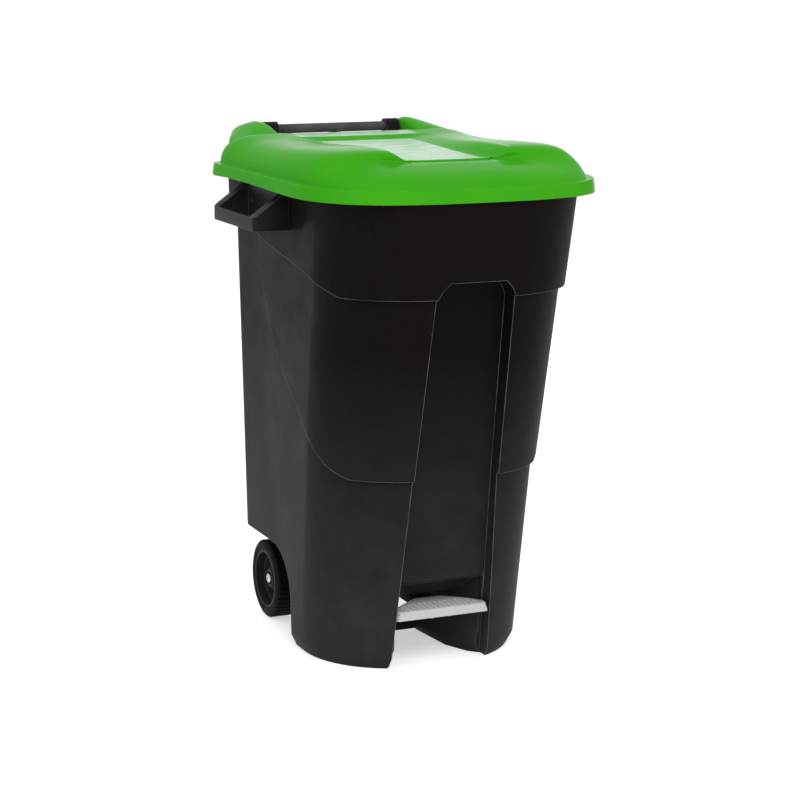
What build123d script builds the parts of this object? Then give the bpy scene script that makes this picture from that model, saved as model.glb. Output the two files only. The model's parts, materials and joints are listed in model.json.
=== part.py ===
from build123d import *
from math import atan2, cos, hypot, sin, sqrt
import os

# A pedal-operated wheelie bin. X runs across it, Y from front to back and Z up, in millimetres.
# The pieces are drawn with Y = 0 where the lid's front corners meet its bowed front, and export()
# shifts them so that the origin is under the centre of the bounding box, on the floor.

# ---- body: a stepped plastic shell. Three tiers, the lowest one set furthest back and in.
RIM = 812.0            # top of the body's rim
REAR = 615.0           # outer face of the rear wall
WALL = 4.0             # wall of the body
RIM_HALF = 223.4       # half the width at the rim
SIDE_DRAFT = 0.02      # how much each side wall leans in, per millimetre down
CORNER = 168.0         # front corner radius
HEEL = 53.0            # rear corner radius
BOW_TOP = 20.0         # how far the front wall bows forward at the rim
BOW_FOOT = 10.0        # and at the floor
TIER_DROPS = (0.0, 167.4, 474.6)    # how far under the rim each tier's front face starts
TIER_RAKES = (0.21, 0.205, 0.15)    # how far each front face leans back, per millimetre down
TIER_INSETS = (0.0, 8.0, 14.0)      # how far each tier's sides stand in from the top tier's
TIER_STEP = 5.0                     # how far each front face stands back from the one above it
RIM_FRONT = -0.6                    # the top tier's front face at the rim
FOOT_CHAMFER = 9.0     # taper around the bottom edges
FOOT_CHAMFER_HEIGHT = 20.0
REAR_RIM_DROP = 15.0   # the rim is lower at the back, where the lid's skirt swings over it
RIM_FLANGE = 6.0       # thickness of the flange that the lid sits on

# ---- recess down the front, and the pocket between the feet that holds the pedal
PANEL_DROP = 141.0       # its upper edge, under the rim
PANEL_TOP_HALF = 60.0
PANEL_STEP_HALF = 68.0   # half width at the first step
PANEL_MID_HALF = 75.5    # and at the second step
PANEL_FOOT_HALF = 90.0   # and at the floor
PANEL_DEPTH = 20.5       # how deep the panel is sunk, level with the first step
PANEL_RAKE = 0.204
PANEL_CORNER = 12.0      # chamfer of its two upper corners
FOOT_SPACE = 46.0        # height of the space for a shoe over the pedal
LEVER_SPACE = 12.0       # and of the space over its lever
FOOT_REAR = 356.0        # rear face of the two feet
FOOT_WEB = 8.0           # web that ties the feet together behind the pocket
FOOT_WEB_HEIGHT = 45.0
WHEEL_HEADROOM = 25.0    # underside of the body above the wheels
ARCH = 80.0              # radius of the wheel arch
POCKET_HALF_FRONT = 82.0
POCKET_HALF_MID = 44.0
POCKET_HALF_REAR = 34.0
POCKET_STRAIGHT = 41.0   # the pocket's full width runs this far behind the tread's front
POCKET_SHOULDER = 16.0   # then a chamfer of this size
POCKET_TAPER = 50.0      # and a taper this long
BOWL = 52.0              # the bowl over the lever ends this far behind the panel's lower edge

# ---- wheels
WHEEL_RADIUS = 70.5
WHEEL_WIDTH = 44.0
WHEEL_OUTER = 178.0      # outer face of each wheel, from the centre
WHEEL_BEHIND = 78.0      # axle ahead of the rear wall
TYRE_THICKNESS = 18.0
DISH = 16.0              # how far the wheel's disc is sunk in from its outer face
AXLE_RADIUS = 8.0
HUB_RADIUS = 17.0
RIB = 6.0                # ribs under the body that carry the axle
RIB_REACH = 45.0         # how far each spreads along the floor, either side of the axle
INNER_RIB = 58.0         # middle of the inner pair, from the centre
RUNNING = 0.06           # radial clearance of a running fit
SNUG = 0.03              # radial clearance of a fixed pin
GAP = 0.3                # clearance between pieces that lie face to face
BELOW_FLOOR = 20.0       # how far the body's cutting shapes run past the floor

# ---- lid, hinge and rear handle bar
LID_OVERHANG = 32.6      # lid's side past the body's rim
LID_BOW = 22.0           # how far the lid bows out at the front
LID_CORNER = 170.0
LID_HEEL = 56.0
LID_REAR = 2.0           # lid's skirt past the rear wall
SKIRT = 22.0             # height of the lid's skirt
SKIRT_BELOW_RIM = 12.0   # its lower edge, under the body's rim
LEDGE = 12.0             # width of the ledge around the dome
DOME = 46.0              # dome above the ledge
LID_WALL = 3.5
VALLEY_HALF_REAR = 118.0
VALLEY_HALF_FRONT = 95.0
VALLEY_FRONT = 125.0     # front end of the sunken middle
VALLEY_DEPTH = 17.0
BAR_BEHIND = 33.0        # hinge axis behind the rear wall
BAR_ABOVE = 58.0         # and above the rim
BAR_RADIUS = 8.5
BAR_HALF = 104.0         # half the bar's free length
BRACKET_WIDTH = 26.0
BRACKET_RADIUS = 13.5
BRACKET_PLATE = 12.0     # thickness of its foot on the rear wall
BRACKET_DROP = 66.0      # the foot runs this far under the rear rim
BAR_SOCKET = 14.0
EAR_RADIUS = 17.0
EAR_WIDTH = 42.0
EAR_LENGTH = 150.0       # an ear runs this far ahead of the hinge
PIN_RADIUS = 5.0
PIN_SOCKET = 10.0
PIN_BOSS = 5.0           # wall around the pin in the lid's ear

# ---- side handles
HANDLE_FRONT = 268.0
HANDLE_REAR = 476.0
HANDLE_REACH = 60.0      # outer face of the grip past the wall
HANDLE_BOTTOM = 77.0     # under the rim
HANDLE_TOP = 16.0
GRIP_HEIGHT = 22.0
GRIP = 8.0
ARM = 24.0
HANDLE_PLATE = 5.0

# ---- pedal and linkage
TREAD_SIDE_GAP = 0.5     # the tread's clearance inside the recess
TREAD_REAR_HALF = 24.0
TREAD_BACK = 0.5         # front of the tread behind the lowest tier's front face
TREAD_DEPTH = 73.0
TREAD_SIDE = 17.0        # length of its straight sides
TREAD_PLATE = 4.0
LIP_HEIGHT = 16.0
LEVER_HALF = 18.0
LEVER_SHEET = 3.0
LEVER_HEIGHT = 16.0
LEVER_OVER_AXLE = 5.5
PIVOT_FROM_ROD = 154.0   # pedal pivot ahead of the lift rod
PIVOT_DROP = 10.0        # pivot under the lever's top
PIVOT_RADIUS = 4.0
ROD_RADIUS = 4.0
ROD_BEHIND = 13.0        # rod behind the rear wall
ROD_FOOT_RADIUS = 7.0
ROD_SEAT = 0.5           # the rod's foot above the lever at rest
LINK_BEHIND_ROD = 2.0    # link pin behind the lift rod
LINK_BELOW = 14.0        # and under the hinge axis
LINK_RADIUS = 4.0
YOKE_HALF = 5.0
SLOT_HALF = 5.0          # half the height of the yoke's slot
YOKE_WALL = 3.0
LUG = 6.0
SCREW_RADIUS = 2.5
HEAD_RADIUS = 5.0
HEAD = 3.0

# ---- worked out from the above
LID_HALF = RIM_HALF + LID_OVERHANG
SKIRT_BOTTOM = RIM - SKIRT_BELOW_RIM
LEDGE_TOP = SKIRT_BOTTOM + SKIRT
DOME_TOP = LEDGE_TOP + DOME
LID_BACK = REAR + LID_REAR
RIM_INSET = LID_WALL + 2         # the rim's clearance inside the lid's outline
TIER_TOPS = [RIM - drop for drop in TIER_DROPS]
TIER_FRONTS = [RIM_FRONT]
for drop, next_drop, rake in zip(TIER_DROPS, TIER_DROPS[1:], TIER_RAKES):
    TIER_FRONTS.append(TIER_FRONTS[-1] + rake * (next_drop - drop) + TIER_STEP)
PANEL_TOP = RIM - PANEL_DROP
PANEL_FRONT = TIER_FRONTS[1] + PANEL_DEPTH
HINGE = (REAR + BAR_BEHIND, RIM + BAR_ABOVE)
LINK_AHEAD = BAR_BEHIND - ROD_BEHIND - LINK_BEHIND_ROD
LINK = (HINGE[0] - LINK_AHEAD, HINGE[1] - LINK_BELOW)
WHEEL_Y = REAR - WHEEL_BEHIND
WHEEL_INNER = WHEEL_OUTER - WHEEL_WIDTH
ROD_Y = REAR + ROD_BEHIND
LEVER_TOP = WHEEL_RADIUS + AXLE_RADIUS + LEVER_OVER_AXLE + LEVER_HEIGHT
TREAD_TOP = LEVER_TOP + TREAD_PLATE
TREAD_FRONT = TIER_FRONTS[2] + TIER_RAKES[2] * (TIER_TOPS[2] - TREAD_TOP) + TREAD_BACK
recess_slope = (PANEL_FOOT_HALF - PANEL_MID_HALF) / (TIER_TOPS[2] + BELOW_FLOOR)
TREAD_HALF = PANEL_MID_HALF + recess_slope * (TIER_TOPS[2] - TREAD_TOP) - TREAD_SIDE_GAP
PANEL_FOOT = TREAD_TOP + FOOT_SPACE
POCKET_ROOF = LEVER_TOP + LEVER_SPACE
UNDERSIDE = 2 * WHEEL_RADIUS + WHEEL_HEADROOM
PIVOT = (ROD_Y - PIVOT_FROM_ROD, LEVER_TOP - PIVOT_DROP)
BRACKET_OUT = BAR_HALF + BRACKET_WIDTH
EAR_IN = BRACKET_OUT + 1
REAR_RIM = RIM - REAR_RIM_DROP
SWEEP_END = HINGE[0] - hypot(HINGE[0] - LID_BACK, HINGE[1] - SKIRT_BOTTOM) - 16
BACK = HINGE[0] + EAR_RADIUS
Y_MID = (BACK - LID_BOW) / 2


# ---- drawing helpers
def prism_x(points, x0, x1):
    """A solid between two X planes from an outline of (y, z) points."""
    face = make_face(Polyline(*points, close=True))
    return extrude(Plane.YZ.offset(x0) * face, x1 - x0)


def prism_y(points, y0, y1, grow=0.0):
    """A solid between two Y planes from an outline of (x, z) points."""
    face = make_face(Polyline(*points, close=True))
    if grow:
        face = offset(face, grow, kind=Kind.INTERSECTION)
    return extrude(Plane((0, y0, 0), (1, 0, 0), (0, -1, 0)) * face, y0 - y1)


def prism_z(points, z0, z1, grow=0.0):
    """A solid between two heights from an outline of (x, y) points."""
    face = make_face(Polyline(*points, close=True))
    if grow:
        face = offset(face, grow, kind=Kind.INTERSECTION)
    return extrude(Plane.XY.offset(z0) * face, z1 - z0)


def block(x0, x1, y0, y1, z0, z1):
    return Pos((x0 + x1) / 2, (y0 + y1) / 2, (z0 + z1) / 2) * Box(x1 - x0, y1 - y0, z1 - z0)


def rod_x(radius, x0, x1, y, z):
    """A round bar along X."""
    return Pos((x0 + x1) / 2, y, z) * Rot(0, 90, 0) * Cylinder(radius, abs(x1 - x0))


def rod_y(radius, y0, y1, x, z):
    return Pos(x, (y0 + y1) / 2, z) * Rot(90, 0, 0) * Cylinder(radius, abs(y1 - y0))


def rod_z(radius, z0, z1, x, y):
    return Pos(x, y, (z0 + z1) / 2) * Cylinder(radius, abs(z1 - z0))


def mirrored(points):
    """An outline's right half, from front to back, and its mirror image."""
    return list(points) + [(-x, y) for x, y in reversed(points)]


def both(shape):
    return [shape, mirror(shape, Plane.YZ)]


def outline(half, front, rear, corner, heel, bow):
    """Plan outline: straight sides and back, and a bowed front that runs tangent into its corners."""
    middle = front + bow
    corner_x = half - corner
    corner_y = middle - sqrt((bow - corner) ** 2 - corner_x ** 2)
    reach = bow / (bow - corner)
    meet = (corner_x * reach, middle + (corner_y - middle) * reach)
    turn = atan2(meet[1] - corner_y, meet[0] - corner_x) / 2
    bend = (corner_x + corner * cos(turn), corner_y + corner * sin(turn))
    diagonal = heel * (1 - sqrt(0.5))
    edges = Curve()
    edges += ThreePointArc(meet, (0, front), (-meet[0], meet[1]))
    for side in (1, -1):
        edges += ThreePointArc((side * half, corner_y), (side * bend[0], bend[1]), (side * meet[0], meet[1]))
        edges += Line((side * half, corner_y), (side * half, rear - heel))
        edges += ThreePointArc((side * half, rear - heel), (side * (half - diagonal), rear - diagonal),
                               (side * (half - heel), rear))
    edges += Line((half - heel, rear), (heel - half, rear))
    return make_face(edges)


# ---- body
def half_at(z, tier=0):
    """Half the width of a tier at a height."""
    return RIM_HALF - SIDE_DRAFT * (RIM - z) - TIER_INSETS[tier]


def chord_at(z, tier):
    """Where a tier's front face stands at a height, behind its bow."""
    return TIER_FRONTS[tier] + TIER_RAKES[tier] * (TIER_TOPS[tier] - z)


def level(z, tier, inset, extra=0.0):
    """One tier's outline at a height, drawn in by a wall."""
    bulge = BOW_FOOT + (BOW_TOP - BOW_FOOT) * z / RIM
    half = half_at(z, tier)
    bow = half ** 2 / (2 * bulge) + bulge / 2
    into = inset + extra
    front = chord_at(z, tier) - bulge
    return Pos(0, 0, z) * outline(half - into, front + into, REAR - into, CORNER - into,
                                  HEEL - into, bow - into)


def swoop_cut(points, back, top, inset):
    """The part of a tier above its sloping lower edge, which is flat over the front and then rises."""
    points = [(y - inset, z + inset) for y, z in points]
    start, end = points[0], points[-1]
    edges = Polyline((-100, start[1]), start)
    edges += Spline(*points, tangents=((1, 0.35), (0.35, 1)))
    edges += Polyline(end, (back, end[1]), (back, top), (-100, top), (-100, start[1]))
    wide = RIM_HALF + 50
    return extrude(Plane.YZ.offset(-wide) * make_face(edges), 2 * wide)


def swoops():
    """Lower edges of the top and middle tiers, as (y, z) points from front to back."""
    first, second = TIER_TOPS[1], TIER_TOPS[2]
    handle = RIM - HANDLE_BOTTOM
    back = FOOT_REAR
    upper = [(TIER_FRONTS[1] + 65.5, first), (back - 146, first + 0.33 * (handle - first)),
             (back - 48, first + 0.5 * (handle - first)), (back + 60, first + 0.72 * (handle - first)),
             (back + 104, handle)]
    rise = handle - second
    lower = [(TIER_FRONTS[2] + 42.5, second), (back - 79, second + 0.248 * rise), (back - 6, second + 0.392 * rise),
             (back + 49, second + 0.58 * rise), (back + 79, second + 0.758 * rise), (back + 90, handle)]
    return upper, lower


def tiers(inset):
    """The body's outside, or with an inset the hollow inside its walls."""
    top = RIM + (1 if inset else 0)
    upper, lower = swoops()
    lowest = loft([level(inset, 2, inset, FOOT_CHAMFER), level(FOOT_CHAMFER_HEIGHT, 2, inset),
                   level(top, 2, inset)], ruled=True)
    middle = loft([level(TIER_TOPS[2], 1, inset), level(top, 1, inset)], ruled=True)
    highest = loft([level(TIER_TOPS[1], 0, inset), level(top, 0, inset)], ruled=True)
    middle &= swoop_cut(lower, lower[-1][0] + 10, RIM - HANDLE_BOTTOM + 20, inset)
    highest &= swoop_cut(upper, REAR + 50, RIM + 50, inset)
    return lowest + middle + highest


def panel_at(z):
    return PANEL_FRONT + PANEL_RAKE * (TIER_TOPS[1] - z)


def front_recess(grow=0.0):
    """The recess down the front: wider towards the floor, with a raked flat back."""
    first, second = TIER_TOPS[1], TIER_TOPS[2]
    corner = PANEL_CORNER
    shape = mirrored([(PANEL_FOOT_HALF, -BELOW_FLOOR), (PANEL_MID_HALF, second), (PANEL_STEP_HALF, first),
                      (PANEL_TOP_HALF, PANEL_TOP - corner), (PANEL_TOP_HALF - corner, PANEL_TOP)])
    low, high = -BELOW_FLOOR, PANEL_TOP + 20
    raked = [(-100, low), (panel_at(low) + grow, low), (panel_at(high) + grow, high), (-100, high)]
    wide = PANEL_FOOT_HALF + 20
    return prism_y(shape, -100, 300, grow) & prism_x(raked, -wide, wide)


def pocket(grow=0.0):
    """The space between the feet: it narrows to the back, under a bowl that slopes down over the lever."""
    back = FOOT_REAR - FOOT_WEB
    start = TREAD_FRONT + POCKET_STRAIGHT
    shoulder = POCKET_SHOULDER
    plan = mirrored([(POCKET_HALF_FRONT, 60), (POCKET_HALF_FRONT, start),
                     (POCKET_HALF_FRONT - shoulder, start + shoulder),
                     (POCKET_HALF_MID, start + shoulder + POCKET_TAPER), (POCKET_HALF_REAR, back)])
    edge = panel_at(PANEL_FOOT)
    low, top, past = -BELOW_FLOOR, PANEL_FOOT + grow, back + 60
    roof = [(-100, low), (-100, top), (edge, top), (edge + 5, top - 6), (edge + BOWL / 2 + grow / 2, top - 9),
            (edge + BOWL + grow / 2, POCKET_ROOF + grow), (past, POCKET_ROOF + grow), (past, low)]
    wide = PANEL_FOOT_HALF + 20
    hollow = prism_z(plan, low, PANEL_FOOT + 20, grow) & prism_x(roof, -wide, wide)
    over_web = block(-POCKET_HALF_REAR - grow, POCKET_HALF_REAR + grow, back - 10, FOOT_REAR + 40,
                     FOOT_WEB_HEIGHT - grow, POCKET_ROOF + grow)
    return hollow + over_web + pocket_flare(plan, grow)


def pocket_flare(plan, grow):
    """Chamfer around the pocket's lower edge."""
    low = make_face(Polyline(*plan, close=True))
    wide = offset(low, FOOT_CHAMFER + grow, kind=Kind.INTERSECTION)
    narrow = offset(low, grow, kind=Kind.INTERSECTION) if grow else low
    return loft([Pos(0, 0, grow) * wide, Pos(0, 0, FOOT_CHAMFER_HEIGHT + grow) * narrow], ruled=True)


def wheel_space(grow=0.0):
    """Everything behind the feet and under the body, with a round arch over the wheels."""
    roof = UNDERSIDE + grow
    front = FOOT_REAR - grow
    low, back = -BELOW_FLOOR, REAR + 100
    edges = Polyline((front, low), (front, roof - ARCH))
    edges += RadiusArc((front, roof - ARCH), (front + ARCH, roof), ARCH)
    edges += Polyline((front + ARCH, roof), (back, roof), (back, low), (front, low))
    wide = RIM_HALF + 50
    return extrude(Plane.YZ.offset(-wide) * make_face(edges), 2 * wide)


def axle_rib(x):
    """A rib under the floor with the axle's hole."""
    top, low = UNDERSIDE + WALL / 2, WHEEL_RADIUS - AXLE_RADIUS
    foot = HUB_RADIUS + 1
    shape = [(WHEEL_Y - RIB_REACH, top), (WHEEL_Y - foot, low), (WHEEL_Y + foot, low), (WHEEL_Y + RIB_REACH, top)]
    rib = prism_x(shape, x - RIB / 2, x + RIB / 2)
    return rib + rod_x(HUB_RADIUS, x - RIB / 2, x + RIB / 2, WHEEL_Y, WHEEL_RADIUS)


def outer_rib_x():
    return WHEEL_INNER - 3 - RIB / 2


def rim_flange():
    """Flange round the front and sides, inside the lid's skirt."""
    ring = extrude(Pos(0, 0, RIM - RIM_FLANGE) * lid_outline(RIM_INSET), RIM_FLANGE)
    return ring - block(-LID_HALF, LID_HALF, SWEEP_END, LID_BACK + 10, 0, RIM + 10)


def front_trim(inset=0.0):
    """What lies ahead of the lid's skirt at the top of the front wall, where the wall stops leaning out."""
    low = SKIRT_BOTTOM - 10
    ahead = block(-LID_HALF, LID_HALF, -100, CORNER, low, RIM + 10)
    return ahead - extrude(Pos(0, 0, low) * lid_outline(RIM_INSET + inset), RIM + 10 - low)


def body_shell():
    outside = tiers(0) - front_recess() - pocket() - wheel_space() - front_trim()
    inside = tiers(WALL) - front_recess(WALL) - pocket(WALL) - wheel_space(WALL) - front_trim(WALL)
    body = outside + rim_flange() - inside
    body -= block(-LID_HALF, LID_HALF, SWEEP_END, REAR + 10, REAR_RIM, RIM + 10)
    for x in (INNER_RIB, outer_rib_x()):
        body += axle_rib(x) + axle_rib(-x)
    body -= rod_x(AXLE_RADIUS + SNUG, -WHEEL_OUTER, WHEEL_OUTER, WHEEL_Y, WHEEL_RADIUS)
    for x, y, z in handle_screw_spots() + [(-x, y, z) for x, y, z in handle_screw_spots()]:
        body -= rod_x(SCREW_RADIUS + SNUG, x - 15, x + 15, y, z)
    for x, z in bracket_screw_spots() + guide_screw_spots():
        body -= rod_y(SCREW_RADIUS + SNUG, REAR - 2 * WALL, REAR + 2, x, z)
    for x, y in pivot_screw_spots():
        body -= rod_z(SCREW_RADIUS + SNUG, UNDERSIDE - 2, UNDERSIDE + 2 * WALL, x, y)
    return body


# ---- lid
def lid_outline(inset=0.0, heel=LID_HEEL, half=LID_HALF, front=-LID_BOW, rear=LID_BACK, corner=LID_CORNER):
    bow = half ** 2 / (2 * LID_BOW) + LID_BOW / 2
    return outline(half - inset, front + inset, rear - inset, corner - inset, heel - inset, bow - inset)


def dome(inset=0.0):
    """The lid's crown: steep at the sides and back, a long slope at the front."""
    base = lid_outline(LEDGE + inset, heel=LID_HEEL + 40)
    middle = lid_outline(LEDGE + 14 + inset, heel=LID_HEEL + 50, front=-LID_BOW + 55)
    top = lid_outline(LEDGE + 62 + inset, heel=LID_HEEL + 70, front=-LID_BOW + 120)
    return loft([Pos(0, 0, LEDGE_TOP - inset) * base, Pos(0, 0, LEDGE_TOP + 0.6 * DOME - inset) * middle,
                 Pos(0, 0, DOME_TOP - inset) * top])


def ear_face():
    """Side view of an ear: a hump that runs back over the hinge."""
    y, z = HINGE
    front, low = y - EAR_LENGTH, LEDGE_TOP - 2
    hump = make_face(Polyline((y, z + EAR_RADIUS), (y - EAR_LENGTH / 3, z + EAR_RADIUS - 4), (front, DOME_TOP - 4),
                              (front, low), (LID_BACK - 2, low), (y, z - EAR_RADIUS), close=True))
    return hump + Pos(y, z) * Circle(EAR_RADIUS)


def ear(side, inset=0.0):
    face = ear_face()
    if inset:
        face = offset(face, -inset, kind=Kind.INTERSECTION)
    x0, x1 = EAR_IN + inset, EAR_IN + EAR_WIDTH - inset
    solid = extrude(Plane.YZ.offset(x0) * face, x1 - x0)
    return solid if side > 0 else mirror(solid, Plane.YZ)


def valley(grow=0.0):
    """The sunken middle of the lid, open to the back."""
    floor = DOME_TOP - VALLEY_DEPTH - grow
    plan = mirrored([(VALLEY_HALF_FRONT, VALLEY_FRONT), (VALLEY_HALF_REAR, REAR + 60)])
    return prism_z(plan, floor, DOME_TOP + 40, grow)


def link_lug(x0, x1):
    """A lug on the lid's back that holds the link pin."""
    y, z = LINK
    plate = prism_x([(LID_BACK - LEDGE - 1, LEDGE_TOP - 4), (LID_BACK - LEDGE - 1, LEDGE_TOP + 22),
                     (y, z + 8), (y + 6, z - 4), (LID_BACK, LEDGE_TOP - 4)], x0, x1)
    return plate + rod_x(8, x0, x1, y, z)


def lid():
    skirt = extrude(Pos(0, 0, SKIRT_BOTTOM) * lid_outline(), SKIRT)
    hollow = extrude(Pos(0, 0, SKIRT_BOTTOM - 5) * lid_outline(LID_WALL), SKIRT + 5 - LID_WALL)
    outside = skirt + dome() - valley()
    inside = dome(LID_WALL) - valley(LID_WALL) + hollow
    for side in (1, -1):
        outside += ear(side)
        inside += ear(side, LID_WALL)
    shell = outside - inside
    for side in (1, -1):
        shell += rod_x(PIN_RADIUS + PIN_BOSS, side * EAR_IN, side * (EAR_IN + EAR_WIDTH), *HINGE)
        shell += link_lug(side * (YOKE_HALF + 1), side * (YOKE_HALF + 1 + LUG))
    shell -= rod_x(PIN_RADIUS + RUNNING, -EAR_IN - EAR_WIDTH - 5, EAR_IN + EAR_WIDTH + 5, *HINGE)
    return shell - rod_x(LINK_RADIUS + SNUG, -40, 40, *LINK)


def link_pin():
    end = YOKE_HALF + LUG + 2
    return rod_x(LINK_RADIUS, -end, end, *LINK)


def lid_buffers():
    """Rubber feet under the ledge, which rest on the body's rim."""
    x = LID_HALF - LID_WALL - 5.5
    depth = LID_BACK - LID_HEEL
    spots = [(side * x, share) for side in (1, -1) for share in (0.35 * depth, 0.85 * depth)]
    return [rod_z(3.5, RIM + GAP, LEDGE_TOP - LID_WALL, px, py) for px, py in spots]


# ---- rear handle bar and its brackets, which also carry the lid
def bracket_screw_spots():
    x = BAR_HALF + BRACKET_WIDTH / 2
    return [(side * x, REAR_RIM - drop) for side in (1, -1) for drop in (18, 50)]


def hinge_bracket(side):
    y, z = HINGE
    foot = REAR_RIM - BRACKET_DROP
    back = REAR + BRACKET_PLATE
    shape = [(REAR + GAP, foot), (REAR + GAP, REAR_RIM - 4), (LID_BACK + 2, REAR_RIM), (LID_BACK + 2, z - 42),
             (y - BRACKET_RADIUS + 1, z + 4), (y + BRACKET_RADIUS - 2, z - 6), (back + 8, REAR_RIM + 4),
             (back, REAR_RIM - 10), (back, foot)]
    arm = prism_x(shape, BAR_HALF, BRACKET_OUT) + rod_x(BRACKET_RADIUS, BAR_HALF, BRACKET_OUT, y, z)
    arm -= rod_x(BAR_RADIUS + SNUG, BAR_HALF - 1, BAR_HALF + BAR_SOCKET + 0.2, y, z)
    arm -= rod_x(PIN_RADIUS + SNUG, BRACKET_OUT - PIN_SOCKET, BRACKET_OUT + 1, y, z)
    for x, height in bracket_screw_spots():
        arm -= rod_y(SCREW_RADIUS + SNUG, REAR, back + 5, abs(x), height)
    return arm if side > 0 else mirror(arm, Plane.YZ)


def handle_bar():
    end = BAR_HALF + BAR_SOCKET
    return rod_x(BAR_RADIUS, -end, end, *HINGE)


def hinge_pins():
    return both(rod_x(PIN_RADIUS, BRACKET_OUT - PIN_SOCKET + 0.2, EAR_IN + EAR_WIDTH - 1, *HINGE))


def screw_y(x, z, seat, length):
    """A screw that goes in towards the front, with its head on a face at Y = seat."""
    return rod_y(SCREW_RADIUS, seat - length, seat + 0.5, x, z) + rod_y(HEAD_RADIUS, seat, seat + HEAD, x, z)


def bracket_screws():
    return [screw_y(x, z, REAR + BRACKET_PLATE, BRACKET_PLATE + 2 * WALL) for x, z in bracket_screw_spots()]


# ---- side handles
def wall_x(z):
    """Where a handle meets the side wall."""
    return half_at(z) + GAP


def handle_screw_spots():
    z = RIM - 40
    x = wall_x(z) + HANDLE_PLATE
    return [(x, HANDLE_FRONT + ARM + 24, z), (x, HANDLE_REAR - ARM - 24, z)]


def side_handle(side):
    low, high = RIM - HANDLE_BOTTOM, RIM - HANDLE_TOP
    outer = RIM_HALF + HANDLE_REACH
    arm = [(wall_x(low), low), (outer, low), (outer, low + GRIP_HEIGHT), (wall_x(high) + 6, high),
           (wall_x(high), high)]
    plate = [(wall_x(low), low), (wall_x(low) + HANDLE_PLATE, low), (wall_x(high) + HANDLE_PLATE, high),
             (wall_x(high), high)]
    grip = [(outer - GRIP, low), (outer, low), (outer, low + GRIP_HEIGHT), (outer - GRIP, low + GRIP_HEIGHT)]
    handle = prism_y(arm, HANDLE_FRONT, HANDLE_FRONT + ARM) + prism_y(arm, HANDLE_REAR - ARM, HANDLE_REAR)
    handle += prism_y(plate, HANDLE_FRONT, HANDLE_REAR) + prism_y(grip, HANDLE_FRONT, HANDLE_REAR)
    corners = handle.edges().filter_by(Axis.Z).group_by(Axis.X)[-1]
    handle = fillet(corners, GRIP)
    for x, y, z in handle_screw_spots():
        handle -= rod_x(SCREW_RADIUS + SNUG, x - 20, x + 5, y, z)
    return handle if side > 0 else mirror(handle, Plane.YZ)


def side_handle_screws():
    screws = []
    for x, y, z in handle_screw_spots():
        seat = wall_x(z) + HANDLE_PLATE + 0.9
        screw = rod_x(SCREW_RADIUS, seat - 14, seat + 0.5, y, z) + rod_x(HEAD_RADIUS, seat, seat + HEAD, y, z)
        screws += both(screw)
    return screws


# ---- wheels and axle
def wheel(side):
    """A plastic wheel: a rim, a sunk disc with holes and a long hub."""
    seat = WHEEL_RADIUS - TYRE_THICKNESS
    disc = WHEEL_OUTER - DISH
    body = rod_x(seat, WHEEL_INNER + 1, WHEEL_OUTER - 1, WHEEL_Y, WHEEL_RADIUS)
    body -= rod_x(seat - 5, disc, WHEEL_OUTER + 5, WHEEL_Y, WHEEL_RADIUS)
    body -= rod_x(seat - 5, WHEEL_INNER - 5, disc - 5, WHEEL_Y, WHEEL_RADIUS)
    body += rod_x(HUB_RADIUS, WHEEL_INNER, disc + 1.5, WHEEL_Y, WHEEL_RADIUS)
    body -= rod_x(AXLE_RADIUS + RUNNING, WHEEL_INNER - 5, WHEEL_OUTER + 5, WHEEL_Y, WHEEL_RADIUS)
    return body if side > 0 else mirror(body, Plane.YZ)


def tyre(side):
    inner = WHEEL_RADIUS - TYRE_THICKNESS + SNUG
    ring = rod_x(WHEEL_RADIUS, WHEEL_INNER, WHEEL_OUTER, WHEEL_Y, WHEEL_RADIUS)
    ring = fillet(ring.edges().filter_by(GeomType.CIRCLE), 5)
    ring -= rod_x(inner, WHEEL_INNER - 5, WHEEL_OUTER + 5, WHEEL_Y, WHEEL_RADIUS)
    return ring if side > 0 else mirror(ring, Plane.YZ)


def axle():
    end = WHEEL_OUTER - DISH + 8
    return rod_x(AXLE_RADIUS, -end, end, WHEEL_Y, WHEEL_RADIUS)


def axle_washers():
    inner = outer_rib_x() + RIB / 2 + GAP
    ring = rod_x(HUB_RADIUS - 3, inner, WHEEL_INNER - GAP, WHEEL_Y, WHEEL_RADIUS)
    return both(ring - rod_x(AXLE_RADIUS + SNUG, inner - 1, WHEEL_INNER, WHEEL_Y, WHEEL_RADIUS))


def axle_caps():
    """Push-on caps that keep the wheels on."""
    seat = WHEEL_OUTER - DISH + 1.5 + GAP
    end = WHEEL_OUTER - DISH + 8
    cap = rod_x(AXLE_RADIUS + 3, seat, end + 2, WHEEL_Y, WHEEL_RADIUS)
    return both(cap - rod_x(AXLE_RADIUS + SNUG, seat - 1, end + 0.1, WHEEL_Y, WHEEL_RADIUS))


# ---- pedal
def tread_plan(inset=0.0):
    half, back = TREAD_HALF - inset, TREAD_FRONT + TREAD_DEPTH - inset
    front = TREAD_FRONT + inset
    return mirrored([(half - 5, front), (half, front + 6), (half, TREAD_FRONT + TREAD_SIDE - inset),
                     (TREAD_REAR_HALF, back)])


def pedal_tread():
    """A tray with a deep front lip, fixed on the lever's front end."""
    tread = prism_z(tread_plan(), TREAD_TOP - LIP_HEIGHT, TREAD_TOP)
    tread -= prism_z(tread_plan(TREAD_PLATE), TREAD_TOP - LIP_HEIGHT - 1, LEVER_TOP)
    slot = LEVER_HALF + GAP
    tread -= block(-slot, slot, TREAD_FRONT + TREAD_DEPTH - 12, TREAD_FRONT + TREAD_DEPTH + 5,
                   TREAD_TOP - LIP_HEIGHT - 1, LEVER_TOP)
    for x, y in tread_screw_spots():
        tread -= rod_z(SCREW_RADIUS + SNUG, LEVER_TOP - 1, TREAD_TOP - 1, x, y)
    return tread


def tread_screw_spots():
    return [(0, TREAD_FRONT + 25), (0, TREAD_FRONT + 50)]


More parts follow.
